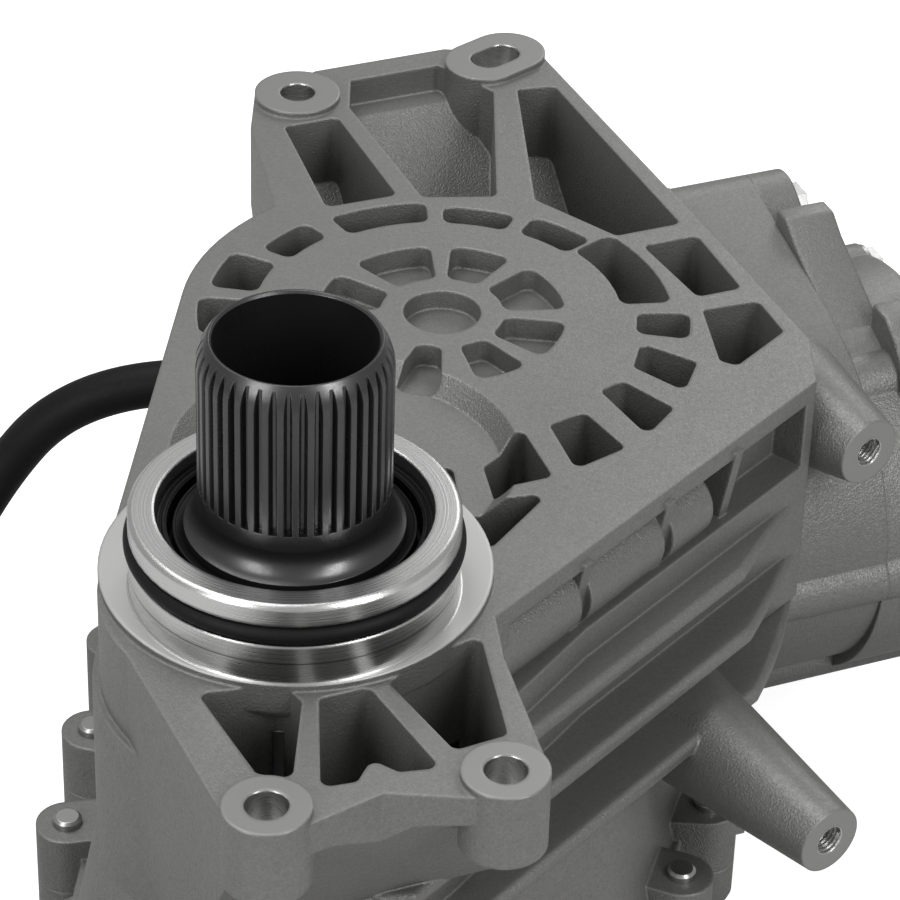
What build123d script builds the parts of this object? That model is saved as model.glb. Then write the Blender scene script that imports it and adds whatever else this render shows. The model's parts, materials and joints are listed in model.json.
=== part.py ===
from build123d import *
import math
import os

os.makedirs("parts", exist_ok=True)

# Transverse transfer case, in millimetres.
# The origin is on the input shaft axis, in the plane of the mounting ear faces.
# +Z leaves the case along the input shaft, +X leaves it along the pinion shaft.

# Shaft axes and split planes
ring_axis_x = 83.0
ring_axis_y = 107.4
pinion_z = -84.0
joint_z = -141.0
side_face_x = 200.0
cover_base_z = -170.0

# Spur gear train: input, idler, driven
gear_module = 3.0
input_teeth = 28
idler_teeth = 13
driven_teeth = 45
gear_top_z = -36.0
gear_width = 15.0
pressure_angle = math.radians(20)
tooth_backlash = 0.35

# Bevel pair: ring gear on the ring shaft, pinion on the output
bevel_module = 4.5
ring_teeth = 30
pinion_teeth = 12
bevel_face = 20.0
bevel_backlash = 0.5

# Case casting
web_top_z = -2.0
web_bottom_z = -76.0
case_wall = 4.5
chamber_gap = 2.5
neck_radius = 50.0
disc_radius = 74.0
shoulder = (65.5, 16.0)
shoulder_radius = 28.0
case_right_x = 175.0
side_wall_angle = 29.0
side_wall_offset = 46.0
flange_thickness = 12.0
flange_rim = 12.0
shoulder_rim = 19.5
skirt_height = 50.0
skirt_inset = 2.0
lobe_radius = 9.0
lobe_offset = 5.0
cover_bolt_angles = (170, 141.5, 117, 95, 73, 52, -6, -24, -43, -72, -105, -137, -165)
lobe_height = 18.5
lobe_tongue = 20.0
petal_inner = 17.5
petal_outer = 35.0
petal_depth = 7.0
dimple_radius = 11.0
pocket_depth = 20.0
pocket_corner = 3.0
window_corner = 2.4

# Pilot collar with its O-ring groove
collar_radius = 42.0
collar_top_z = 23.5
collar_wall = 6.8
groove_bottom_z = 11.4
groove_top_z = 17.5
groove_depth = 3.6
collar_land = (3.0, 7.4, 50.5)
neck_dip = (33.0, 52.0, 42.0)
neck_dip_depth = 5.0

# Mounting ears: hole radius, boss radius and height
upper_ear = (85.9, 235.1)
slot_ear = (152.1, 236.3)
lower_left_ear = (-35.9, -79.9)
lower_right_ear = (21.9, -87.1)
ear_hole_radius = 5.4
upper_boss_radius = 13.2
lower_boss_radius = 11.0
ear_height = 22.0
slot_length = 17.0
slot_width = 11.0
slot_angle = 20.0
rib_width = 4.6
fin_thickness = 5.0
fin_places = ((-41, 9), (-60, 13), (-79, 17))
fin_start = -27.0
fin_bend = 124.0
fin_end = 167.0
fin_root = 30.0

# Recess below the web edge, with half-round bulges of the wall and gussets in it
recess_start = 30.0
recess_end = 162.0
bulge_radius = 11.0
bulge_inset = 36.0
bulge_z = -20.0
bulge_spans = ((28, 60), (64, 96), (100, 118))
gusset_places = (62, 98, 129)
gusset_thickness = 3.6

# Small drilled spigot below the lower ears
low_spigot = (-2.4, -51.8)
low_spigot_radius = 5.75
low_spigot_hole = 2.5
low_spigot_depth = 12.0
low_spigot_top = -60.0

# Tapped mounting bosses on the side wall
tap_radius = 4.25
tap_depth = 22.0
boss_direction = -75.0
upper_tap_mouth = (184.0, 36.0, -27.0)
upper_tap_radius = 10.0
upper_tap_length = 34.0
lower_tap_mouth = (135.8, -47.4, -88.0)
lower_tap_radius = 9.8
lower_tap_length = 64.0
tap_boss_growth = 7.5

# Input shaft
spline_radius = 24.4
spline_teeth = 41
spline_depth = 1.9
spline_start_z = 31.6
shaft_top_z = 74.0
shaft_rim_radius = 21.6
shaft_nose = 7.5
shaft_bore_radius = 20.5
seal_land_radius = 28.0
input_gear_seat = 30.0
input_rear_radius = 27.0

# Ring shaft, idler shaft and pinion shaft
ring_front_seat = 18.0
ring_body_radius = 22.0
ring_rear_seat = 20.0
idler_shaft_radius = 9.0
bush_wall = 2.0
pinion_seat_radius = 18.0
pinion_outer_seat = 16.0
pinion_flange_seat = 14.0
pinion_thread_radius = 9.0

# Bearings: outer radius and width
front_bearing_radius = 40.0
rear_bearing_radius = 38.0
input_bearing_width = 16.0
ring_bearing_radius = 36.0
ring_bearing_width = 14.0
pinion_inner_bearing = 36.0
pinion_outer_bearing = 32.0
pinion_bearing_width = 17.0
contact_angle = math.radians(11)
roller_clearance = 0.02
roller_count = 9

# Pinion housing and output
housing_bolt_inset = 6.0
housing_bolt_start = 60.0
housing_rim_radius = 61.0
housing_ear_radius = 12.0
housing_ear_place = (150.0, -18.0)
housing_thread = 20.0
spigot_radius = 42.0
spigot_start_x = 160.0
housing_drum = 32.0
housing_lug = 12.0
housing_joint_depth = 12.0
barrel_start = 60.0
bearing_boss_wall = 8.0
output_hub_length = 46.0
output_flange_radius = 48.0
output_bolt_circle = 38.0
output_bolt_hole = 5.5

housing_nose_radius = 36.0
output_hub_radius = 22.0
output_hub_x = 246.0
output_web_depth = 12.0
output_seal_radius = 31.0
output_seal_width = 11.0
nut_recess_radius = 20.0

# Seals, rear cover and fills
seal_top_z = 19.0
rear_seal_radius = 35.0
rear_seal_width = 6.0
shim_thickness = 0.8
o_ring_radius = 2.4
cover_flange = 12.0
cover_boss_stand = 6.0
foot_radius = 9.0
dowel_radius = 4.0
dowel_half = 7.0
dowel_angles = (30.0, -120.0)

# Plugs on the back wall: angle about the ring shaft axis and height
fill_place = (100.0, -92.0)
drain_place = (142.0, -106.0)
plug_radius = 8.0
plug_length = 12.0
plug_boss = 12.5
plug_stand = 11.0
washer_thickness = 1.5

# Vent nipple and hose
nipple_angle = 120.0
nipple_z = -62.0
nipple_radius = 3.75
nipple_hex = 5.5
nipple_barb = 8.0
hose_radius = 7.0
hose_direction = 158.2
clip_width = 5.0
hose_radii = (43, 70, 56, 100, 130, 150, 120)
idler_side_gap = 0.5

# Fits and fasteners
running_fit = 0.05
locating_fit = 0.02
cover_bolt_radius = 4.0
housing_bolt_shank = 4.0
bolt_head_height = 5.5
tip_stand = 2.5

# Derived places
seal_bore_radius = collar_radius - collar_wall
housing_bolt_radius = housing_rim_radius - housing_bolt_inset
output_face_x = output_hub_x + output_hub_length
output_web_x = output_face_x - output_web_depth
output_seal_x = output_hub_x + 5.0
housing_end_x = output_seal_x + output_seal_width
axis_distance = math.hypot(ring_axis_x, ring_axis_y)
axis_angle = math.atan2(ring_axis_y, ring_axis_x)
input_pitch = gear_module * input_teeth / 2
idler_pitch = gear_module * idler_teeth / 2
driven_pitch = gear_module * driven_teeth / 2
input_to_idler = input_pitch + idler_pitch
idler_to_driven = idler_pitch + driven_pitch
idler_turn = math.acos(
    (input_to_idler**2 + axis_distance**2 - idler_to_driven**2) / (2 * input_to_idler * axis_distance)
)
idler_x = input_to_idler * math.cos(axis_angle - idler_turn)
idler_y = input_to_idler * math.sin(axis_angle - idler_turn)
gear_bottom_z = gear_top_z - gear_width
input_chamber = input_pitch + gear_module + chamber_gap
idler_chamber = idler_pitch + gear_module + chamber_gap
ring_chamber = driven_pitch + gear_module + chamber_gap
chamber_top_z = gear_top_z + chamber_gap
ring_pitch_radius = bevel_module * ring_teeth / 2
pinion_pitch_radius = bevel_module * pinion_teeth / 2
cone_distance = math.hypot(ring_pitch_radius, pinion_pitch_radius)
ring_back_z = pinion_z - pinion_pitch_radius - bevel_face

ring_frame = Plane(origin=(ring_axis_x, ring_axis_y, 0))
ring_bevel_frame = Plane(origin=(ring_axis_x, ring_axis_y, pinion_z), x_dir=(1, 0, 0), z_dir=(0, 0, -1))
pinion_bevel_frame = Plane(origin=(ring_axis_x, ring_axis_y, pinion_z), x_dir=(0, 0, -1), z_dir=(1, 0, 0))
pinion_frame = Plane(origin=(0, ring_axis_y, pinion_z), x_dir=(0, 1, 0), z_dir=(1, 0, 0))
wall_cos = math.cos(math.radians(side_wall_angle))
wall_sin = math.sin(math.radians(side_wall_angle))


def side_plane(z):
    """Plane at height z whose x runs along the slanted side wall and whose y points into the case."""
    return Plane(origin=(0, 0, z), x_dir=(wall_cos, wall_sin, 0), z_dir=(0, 0, 1))


def finish(part, name):
    """Name a finished piece and write it."""
    part.label = name
    export_step(part, f"parts/{name}.step")
    return part


def hull_body(circles, top, bottom):
    """Upright body whose plan is the hull of circles given as (x, y, radius)."""
    with BuildPart() as body:
        with BuildSketch(Plane.XY.offset(bottom)):
            with BuildLine() as rims:
                for x, y, radius in circles:
                    CenterArc((x, y), radius, 0, 360)
            make_hull(rims.edges())
        extrude(amount=top - bottom)
    return body.part


def plan_body(points, top, bottom, corner=0.0):
    """Upright body with a polygon as its plan, its upright edges rounded."""
    with BuildPart() as body:
        with BuildSketch(Plane.XY.offset(bottom)) as plan:
            Polygon(*points, align=None)
            if corner > 0:
                fillet(plan.vertices(), corner)
        extrude(amount=top - bottom)
    return body.part


def ring_pocket(inner, outer, start, end, depth):
    """Pocket in the web: a stretch of a ring round the ring shaft axis, between two angles."""
    bottom = web_top_z - depth
    with BuildPart() as body:
        with BuildSketch(Plane.XY.offset(bottom)) as plan:
            with BuildLine(Plane.XY.offset(bottom)):
                first = CenterArc((ring_axis_x, ring_axis_y), inner, start, end - start)
                second = CenterArc((ring_axis_x, ring_axis_y), outer, start, end - start)
                Line(first @ 0, second @ 0)
                Line(first @ 1, second @ 1)
            make_face()
            fillet(plan.vertices(), pocket_corner)
        extrude(amount=depth)
    return body.part


# Gear teeth


def involute(angle):
    """Involute function of a pressure angle."""
    return math.tan(angle) - angle


def half_tooth_angle(radius, pitch_radius, thickness):
    """Half the angle that a tooth fills at a radius, for an involute flank."""
    base = pitch_radius * math.cos(pressure_angle)
    at_radius = math.acos(min(1.0, base / radius))
    return thickness / (2 * pitch_radius) + involute(pressure_angle) - involute(at_radius)


def gear_points(teeth, module, backlash, phase):
    """Outline of a spur gear, with flat-sided flanks through the root, pitch and tip radii."""
    pitch_radius = module * teeth / 2
    base = pitch_radius * math.cos(pressure_angle)
    root = pitch_radius - 1.25 * module
    tip = pitch_radius + 0.95 * module
    thickness = math.pi * module / 2 - backlash
    flank = [(root, max(root, base)), (pitch_radius, pitch_radius), (tip, tip)]
    half_flank = [(r, half_tooth_angle(s, pitch_radius, thickness)) for r, s in flank]
    points = []
    for tooth in range(teeth):
        centre = phase + 2 * math.pi * tooth / teeth
        for r, half in half_flank:
            points.append((r * math.cos(centre - half), r * math.sin(centre - half)))
        for r, half in reversed(half_flank):
            points.append((r * math.cos(centre + half), r * math.sin(centre + half)))
    return points


def meshed_phase(phase, teeth, direction, mate_teeth):
    """Phase of a gear's mate, seen in the given direction, so that its gap meets the tooth."""
    turn = (direction - phase) * teeth / (2 * math.pi)
    return direction + math.pi - (0.5 - turn) * 2 * math.pi / mate_teeth


def bevel_tooth(pitch_radius, mate_radius, backlash):
    """One straight bevel tooth, its apex at the origin and its gear axis along +Z."""
    angle = math.atan2(pitch_radius, mate_radius)
    spur_radius = pitch_radius / math.cos(angle)
    thickness = math.pi * bevel_module / 2 - backlash
    toe = (cone_distance - bevel_face) / cone_distance
    outline = []
    for depth in (-1.5, 0.0, 0.9):
        radius = spur_radius + depth * bevel_module
        flank_radius = max(radius, spur_radius * math.cos(pressure_angle))
        half = half_tooth_angle(flank_radius, spur_radius, thickness)
        outline.append((radius * math.sin(half), depth * bevel_module))
    mirrored = [(-x, y) for x, y in reversed(outline)]
    along = (math.sin(angle), 0, math.cos(angle))
    with BuildPart() as tooth:
        for scale in (1.0, toe):
            origin = (pitch_radius * scale, 0, mate_radius * scale)
            with BuildSketch(Plane(origin=origin, x_dir=(0, -1, 0), z_dir=along)):
                Polygon(*[(x * scale, y * scale) for x, y in outline + mirrored], align=None)
        loft(ruled=True)
    return tooth.part


def bevel_root_points(pitch_radius, mate_radius):
    """Heel and toe of the root line of a bevel gear, as (radius, distance from the apex)."""
    angle = math.atan2(pitch_radius, mate_radius)
    drop = 1.25 * bevel_module
    heel = (pitch_radius - drop * math.cos(angle), mate_radius + drop * math.sin(angle))
    toe = (cone_distance - bevel_face) / cone_distance
    return heel, (heel[0] * toe, heel[1] * toe)


# Bearings


def taper_bearing(name, frame, bore, outer, width, large_end):
    """Tapered roller bearing centred on a frame: cup, cone and a set of rollers."""
    mean = (bore + outer) / 2
    roller_radius = 0.2 * (outer - bore)
    apex = mean / math.tan(contact_angle)
    spread = math.atan(roller_radius / (apex / math.cos(contact_angle)))
    side = large_end * width / 2

    def track(angle, offset):
        return (apex + large_end * offset) * math.tan(angle)

    races = (("cup", outer, contact_angle + spread), ("cone", bore, contact_angle - spread))
    for piece, seat, angle in races:
        with BuildPart() as race:
            with BuildSketch(Plane.XZ):
                Polygon(
                    (seat, -side),
                    (track(angle, -side), -side),
                    (track(angle, side), side),
                    (seat, side),
                    align=None,
                )
            revolve(axis=Axis.Z)
        finish(race.part.moved(frame.location), f"{name}_{piece}")

    length = 0.8 * width
    taper = length / 2 * math.tan(spread)
    tilt = large_end * math.degrees(contact_angle)
    with BuildPart() as rollers:
        with PolarLocations(0, roller_count):
            with Locations(Location((mean, 0, 0), (0, tilt, 0))):
                Cone(
                    roller_radius - large_end * taper - roller_clearance,
                    roller_radius + large_end * taper - roller_clearance,
                    length,
                )
    finish(rollers.part.moved(frame.location), f"{name}_rollers")


# Bolts


def flange_bolt(shank_radius, length, head_height):
    """Hex flange bolt, its seat at z = 0, its head below and its shank above."""
    with BuildPart() as bolt:
        with BuildSketch(Plane.XY.offset(-head_height)):
            RegularPolygon(shank_radius * 1.75, 6)
        extrude(amount=head_height)
        with BuildSketch(Plane.XY.offset(-1.6)):
            Circle(shank_radius * 2.1)
        extrude(amount=1.6)
        with BuildSketch():
            Circle(shank_radius - locating_fit)
        extrude(amount=length)
        chamfer(bolt.faces().sort_by(Axis.Z)[-1].edges(), 0.8)
    return bolt.part


flange_plan = [
    (0, 0, input_chamber + case_wall + flange_rim),
    (shoulder[0], shoulder[1], shoulder_radius + shoulder_rim),
    (ring_axis_x, ring_axis_y, ring_chamber + case_wall + flange_rim),
]
wall_plan = [
    (0, 0, input_chamber + case_wall),
    (shoulder[0], shoulder[1], shoulder_radius),
    (ring_axis_x, ring_axis_y, ring_chamber + case_wall),
]


def rim_reach(circles, centre, angle, offset):
    """Distance from a centre to the hull of circles, grown by an offset, in one direction."""
    reaches = []
    for step in range(360):
        normal = (math.cos(math.radians(step)), math.sin(math.radians(step)))
        slope = math.cos(math.radians(step) - angle)
        if slope > 0.05:
            rim = max(normal[0] * x + normal[1] * y + radius for x, y, radius in circles)
            reaches.append((rim + offset - normal[0] * centre[0] - normal[1] * centre[1]) / slope)
    return min(reaches)


def rim_place(degrees, offset):
    """Place at an offset from the rim of the joint flange, at an angle seen from its middle."""
    centre = (ring_axis_x / 2, ring_axis_y / 2)
    angle = math.radians(degrees)
    reach = rim_reach(flange_plan, centre, angle, offset)
    return (centre[0] + reach * math.cos(angle), centre[1] + reach * math.sin(angle))


cover_bolt_points = [rim_place(degrees, lobe_offset) for degrees in cover_bolt_angles]


def case_chambers():
    """Inner space of the case: gear chambers, bearing seats, pinion bore and tapped bolt holes."""
    ring_seat = front_ring_z + ring_bearing_width / 2
    input_seat = front_input_z + input_bearing_width / 2
    with BuildPart() as space:
        with BuildSketch(Plane.XY.offset(joint_z)):
            Circle(input_chamber)
            with Locations((idler_x, idler_y)):
                Circle(idler_chamber)
            with Locations((ring_axis_x, ring_axis_y)):
                Circle(ring_chamber)
        extrude(amount=chamber_top_z - joint_z)
        with BuildSketch(Plane.XY.offset(joint_z)):
            Circle(front_bearing_radius)
        extrude(amount=input_seat - joint_z)
        with BuildSketch(Plane.XY.offset(joint_z)):
            Circle(seal_land_radius + 2.5)
        extrude(amount=collar_top_z - joint_z)
        with BuildSketch(Plane.XY.offset(seal_floor_z)):
            Circle(seal_bore_radius)
        extrude(amount=collar_top_z - seal_floor_z)
        with BuildSketch(Plane.XY.offset(joint_z)):
            with Locations((ring_axis_x, ring_axis_y)):
                Circle(ring_bearing_radius)
        extrude(amount=ring_seat - joint_z)
        with BuildSketch(Plane.XY.offset(joint_z)):
            with Locations((idler_x, idler_y)):
                Circle(idler_shaft_radius)
        extrude(amount=idler_shaft_top - joint_z)
        with BuildSketch(pinion_frame.offset(ring_axis_x)):
            Circle(spigot_radius + running_fit)
        extrude(amount=side_face_x - ring_axis_x)
    return space.part


# Heights and places of the bearings, seals and shaft ends
front_input_z = chamber_top_z + 1.0 + input_bearing_width / 2
rear_input_z = joint_z - 6.0 - input_bearing_width / 2
front_ring_z = chamber_top_z + 1.0 + ring_bearing_width / 2
rear_ring_z = joint_z - 2.0 - ring_bearing_width / 2
seal_floor_z = 8.0
seal_land_top = seal_top_z + 0.5
flare_top_z = 27.0
shaft_bottom_z = cover_base_z + 2.0
inner_pinion_x = spigot_start_x + pinion_bearing_width / 2
outer_pinion_x = output_hub_x - pinion_bearing_width / 2
spline_root = spline_radius - spline_depth
spline_pitch = 2 * math.pi / spline_teeth
spline_gap = []
for gap_radius, gap_turn in (
    (spline_root, -0.12),
    (spline_radius + 1, -0.36),
    (spline_radius + 1, 0.36),
    (spline_root, 0.12),
):
    gap_angle = gap_turn * spline_pitch
    spline_gap.append((gap_radius * math.cos(gap_angle), gap_radius * math.sin(gap_angle)))
cover_foot_points = [(118.0, 34.0), (146.0, 150.0), (30.0, 150.0)]
dowel_points = [rim_place(degrees, -flange_rim / 2) for degrees in dowel_angles]
upper_housing_ear = (housing_ear_place[0] - ring_axis_y, housing_ear_place[1] - pinion_z)
idler_shaft_top = chamber_top_z + 5.0
idler_shaft_bottom = joint_z - 9.0
nipple_reach = ring_chamber + case_wall + 5
hose_way = (math.cos(math.radians(hose_direction)), math.sin(math.radians(hose_direction)), 0)
nipple_frame = Plane(
    origin=(
        ring_axis_x + nipple_reach * math.cos(math.radians(nipple_angle)),
        ring_axis_y + nipple_reach * math.sin(math.radians(nipple_angle)),
        nipple_z,
    ),
    x_dir=(0, 0, 1),
    z_dir=hose_way,
)


def side_wall_place(along, offset):
    """Place in plan at a distance along the slanted side wall and an offset out of the case."""
    return (offset * wall_sin + along * wall_cos, -offset * wall_cos + along * wall_sin)


near_corner = side_wall_place(24, side_wall_offset)
right_corner = side_wall_place(166, side_wall_offset)
web_points = [
    near_corner,
    right_corner,
    (case_right_x, 60.0),
    (case_right_x - 3, 148.0),
    (100.0, 176.0),
    (40.0, 100.0),
    (20.0, 20.0),
]
upper_bracket_points = [
    (55.0, 160.0),
    (57.0, 172.0),
    (66.0, 222.0),
    (74.0, 241.0),
    (97.0, 249.0),
    (140.0, 249.0),
    (167.5, 236.0),
    (case_right_x - 3.5, 146.0),
    (140.0, 120.0),
]
lower_bracket_points = [
    (-49.0, 0.0),
    (-46.0, -78.0),
    (-34.0, -89.0),
    (-8.0, -83.0),
    (18.0, -95.0),
    (33.5, -84.0),
    (39.0, -45.0),
    near_corner,
    (30.0, 0.0),
]
upper_windows = [
    [(71.8, 171.5), (94.0, 171.0), (93.4, 220.0), (76.0, 220.0)],
    [(100.5, 167.5), (121.5, 160.5), (144.5, 219.0), (134.0, 241.0), (106.0, 242.0), (98.8, 224.0)],
    [(131.5, 155.0), (146.0, 128.5), (166.8, 128.5), (163.8, 216.0), (152.0, 218.0)],
]
lower_windows = [
    [(-37.0, -32.0), (-33.6, -66.0), (-26.0, -70.5), (-14.0, -44.0), (-16.0, -36.0)],
    [(-9.6, -44.0), (-21.0, -76.0), (-12.0, -77.0), (-6.0, -70.5), (-1.5, -77.0), (8.6, -79.0), (3.4, -44.0)],
    [(8.4, -44.0), (14.0, -74.0), (28.4, -73.0), (37.0, -34.0), (22.0, -38.0)],
]
web_windows = [
    [(151.0, 121.0), (168.5, 121.0), (168.5, 90.5), (154.5, 90.5)],
    [(153.0, 84.0), (170.0, 83.0), (170.0, 66.0), (150.0, 54.5), (146.5, 58.5)],
    [(129.5, 74.0), (140.5, 60.0), (131.0, 48.0), (122.5, 63.5)],
    [(109.0, 56.0), (117.0, 58.5), (125.0, 41.5), (112.5, 32.0)],
    [(89.5, 45.5), (101.0, 48.0), (104.8, 28.5), (88.0, 24.0)],
    [(68.0, 39.4), (79.0, 45.6), (81.8, 44.4), (81.0, 22.8), (64.6, 22.8)],
    [(53.0, 44.8), (60.2, 42.0), (55.8, 26.0), (49.0, 26.0)],
    [(50.0, 20.5), (77.5, 16.5), (54.5, -0.5), (50.0, 0.0)],
]
petal_spans = [(74, 114), (34, 64), (-17, 23), (-60, -28), (-96, -70), (-134, -112), (126, 157)]
outer_spans = [
    (132, 149, 53, 67),
    (109, 127, 51, 61),
    (73, 102, 48.5, 59.5),
    (46, 68, 48.0, 57.0),
    (21, 41, 48.5, 59.0),
    (-15, 20, 51.0, 65.5),
    (-31, -20, 55.0, 70.0),
    (154, 170, 54.0, 69.0),
]


def bracket(plan, profile, left, right):
    """Ear bracket: a plan polygon and a side profile (y, z), kept where they meet."""
    low = min(z for y, z in profile)
    with BuildPart() as body:
        with BuildSketch(Plane.XY.offset(low)):
            Polygon(*plan, align=None)
        extrude(amount=web_top_z - low)
        with BuildSketch(Plane.YZ.offset(left)):
            Polygon(*profile, align=None)
        extrude(amount=right - left, mode=Mode.INTERSECT)
    return body.part


def wall_frame(place):
    """Frame on the mouth of a plug boss of the back wall, its z pointing out of the case."""
    angle, height = place
    reach = ring_chamber + case_wall + plug_stand
    x = ring_axis_x + reach * math.cos(math.radians(angle))
    y = ring_axis_y + reach * math.sin(math.radians(angle))
    outward = (math.cos(math.radians(angle)), math.sin(math.radians(angle)), 0)
    return Plane(origin=(x, y, height), x_dir=(0, 0, 1), z_dir=outward)


def slab(plan, top, bottom):
    """Upright body made from a finished plan sketch."""
    return extrude(plan.moved(Location((0, 0, bottom))), amount=top - bottom)


def case_castings():
    """Walls, joint flange, web and brackets of the case, before anything is cut."""
    upper_back = [(252, -13), (236, -16), (190, -58), (170, -72), (100, -72)]
    lower_back = [(-98, -9), (-86, -12), (-56, -60), (-48, -66), (0, -66)]
    upper_profile = [(252, web_top_z), *upper_back, (100, web_top_z)]
    lower_profile = [(-98, web_top_z), *lower_back, (0, web_top_z)]
    with BuildSketch() as barrel:
        Circle(spigot_radius + bearing_boss_wall)
    bore_start = pinion_frame.offset(ring_axis_x + barrel_start).location
    return [
        hull_body(wall_plan, chamber_top_z + case_wall, joint_z),
        hull_body(flange_plan, joint_z + flange_thickness, joint_z),
        case_skirt(),
        plan_body(web_points, web_top_z, web_bottom_z),
        hull_body([(0, 0, neck_radius), (ring_axis_x, ring_axis_y, disc_radius)], web_top_z, web_bottom_z),
        bracket(upper_bracket_points, upper_profile, 40, 180),
        bracket(lower_bracket_points, lower_profile, -60, 60),
        bore_start * extrude(barrel.sketch, amount=side_face_x - ring_axis_x - barrel_start),
    ] + bolt_tongues() + housing_joint()


def case_skirt():
    """Flared foot of the wall, above the joint flange."""
    with BuildPart() as skirt:
        for rise, inset in ((0, skirt_inset), (skirt_height, flange_rim)):
            with BuildSketch(Plane.XY.offset(joint_z + flange_thickness + rise)):
                with BuildLine() as rims:
                    for x, y, radius in flange_plan:
                        CenterArc((x, y), radius - inset, 0, 360)
                make_hull(rims.edges())
        loft(ruled=True)
    return skirt.part


def bolt_tongues():
    """Lobes of the joint flange, each drawn inwards until it meets the wall."""
    tongues = []
    for x, y in cover_bolt_points:
        inward = math.atan2(ring_axis_y / 2 - y, ring_axis_x / 2 - x)
        root = (x + lobe_tongue * math.cos(inward), y + lobe_tongue * math.sin(inward), lobe_radius)
        tongues.append(hull_body([(x, y, lobe_radius), root], joint_z + lobe_height, joint_z))
    return tongues


def housing_joint():
    """Casting between the web and the pinion housing, with the lobes of its bolts."""
    ear_x, ear_y = upper_housing_ear
    drum_lift = housing_rim_radius + 0.3 - (pinion_z - joint_z)
    length = side_face_x - case_right_x
    circles = [(0, drum_lift, housing_rim_radius), (ear_x, ear_y, housing_ear_radius)]
    body = hull_body(circles, length, -housing_joint_depth)
    with BuildSketch() as bosses:
        with PolarLocations(housing_bolt_radius, 6, start_angle=housing_bolt_start):
            Circle(lobe_radius)
    start = pinion_frame.offset(case_right_x).location
    return [start * body, start * slab(bosses.sketch, length, 3 - housing_joint_depth)]


def neck_dip_tool():
    """Shallow dished area of the web beside the collar."""
    x, y, radius = neck_dip
    with BuildPart() as dip:
        with BuildSketch(Plane.XY.offset(web_top_z - neck_dip_depth)):
            with Locations((x, y)):
                Circle(radius)
        extrude(amount=neck_dip_depth, taper=-45)
    return dip.part


def case_pockets():
    """Pockets of the web, bays of the brackets and the recess below the web edge."""
    upper_space = [(240, 2), (240, -11), (234, -12), (188, -53), (168, -66), (100, -66), (100, 2)]
    lower_space = [(-92, 2), (-92, -5), (-83, -8), (-55, -52), (-45, -60), (0, -60), (0, 2)]
    with BuildSketch() as dimple:
        with Locations((ring_axis_x, ring_axis_y)):
            Circle(dimple_radius)
    tools = [slab(dimple.sketch, web_top_z, web_top_z - petal_depth + 1), neck_dip_tool()]
    for start, end in petal_spans:
        tools.append(ring_pocket(petal_inner, petal_outer, start, end, petal_depth))
    for start, end, inner, outer in outer_spans:
        tools.append(ring_pocket(inner, outer, start, end, pocket_depth))
    for points in web_windows:
        tools.append(plan_body(points, web_top_z, web_top_z - pocket_depth - 2, window_corner))
    for points in upper_windows:
        tools.append(bracket_bay(points, upper_space, 40, 180))
    for points in lower_windows:
        tools.append(bracket_bay(points, lower_space, -60, 60))
    tools.append(side_recess())
    return tools


def case_ears():
    """Bosses of the four mounting ears."""
    with BuildSketch() as bosses:
        with Locations(upper_ear):
            Circle(upper_boss_radius)
        with Locations(lower_left_ear, lower_right_ear):
            Circle(lower_boss_radius)
        with Locations(Location((slot_ear[0], slot_ear[1], 0), (0, 0, slot_angle))):
            SlotOverall(slot_length + 17.0, slot_width + 13.0)
    return slab(bosses.sketch, 0, -ear_height)


def cooling_fin(height, reach):
    """Cooling fin that runs along the side wall and ends at the upper tapped boss."""
    outer = -side_wall_offset - reach
    inner = -side_wall_offset + 2
    with BuildPart() as fin:
        with BuildSketch(side_plane(height - fin_thickness / 2)):
            with BuildLine():
                Polyline(
                    (fin_end, inner),
                    (fin_end, -fin_root),
                    (fin_start, -fin_root),
                    (fin_start, outer + 6),
                    (fin_start + 6, outer),
                    (fin_bend, outer),
                )
                ThreePointArc((fin_bend, outer), (fin_end - 14, outer + reach / 2 + 3), (fin_end, inner))
            make_face()
        extrude(amount=fin_thickness)
        fillet(fin.faces().filter_by(Axis.Z).edges(), fin_thickness / 2 - 0.6)
    return fin.part


def pilot_collar():
    """Turned collar that centres the case, with the groove of its O-ring."""
    groove_radius = collar_radius - groove_depth
    with BuildPart() as collar:
        with BuildSketch(Plane.XZ):
            Polygon(
                (0, -10),
                (collar_radius, -10),
                (collar_radius, groove_bottom_z),
                (groove_radius, groove_bottom_z),
                (groove_radius, groove_top_z),
                (collar_radius, groove_top_z),
                (collar_radius, collar_top_z - 1),
                (collar_radius - 1, collar_top_z),
                (0, collar_top_z),
                align=None,
            )
        revolve(axis=Axis.Z)
        with BuildSketch(Plane.XY.offset(-neck_dip_depth - 4)):
            with Locations(collar_land[:2]):
                Circle(collar_land[2])
        extrude(amount=neck_dip_depth + 4)
    return collar.part


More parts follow.
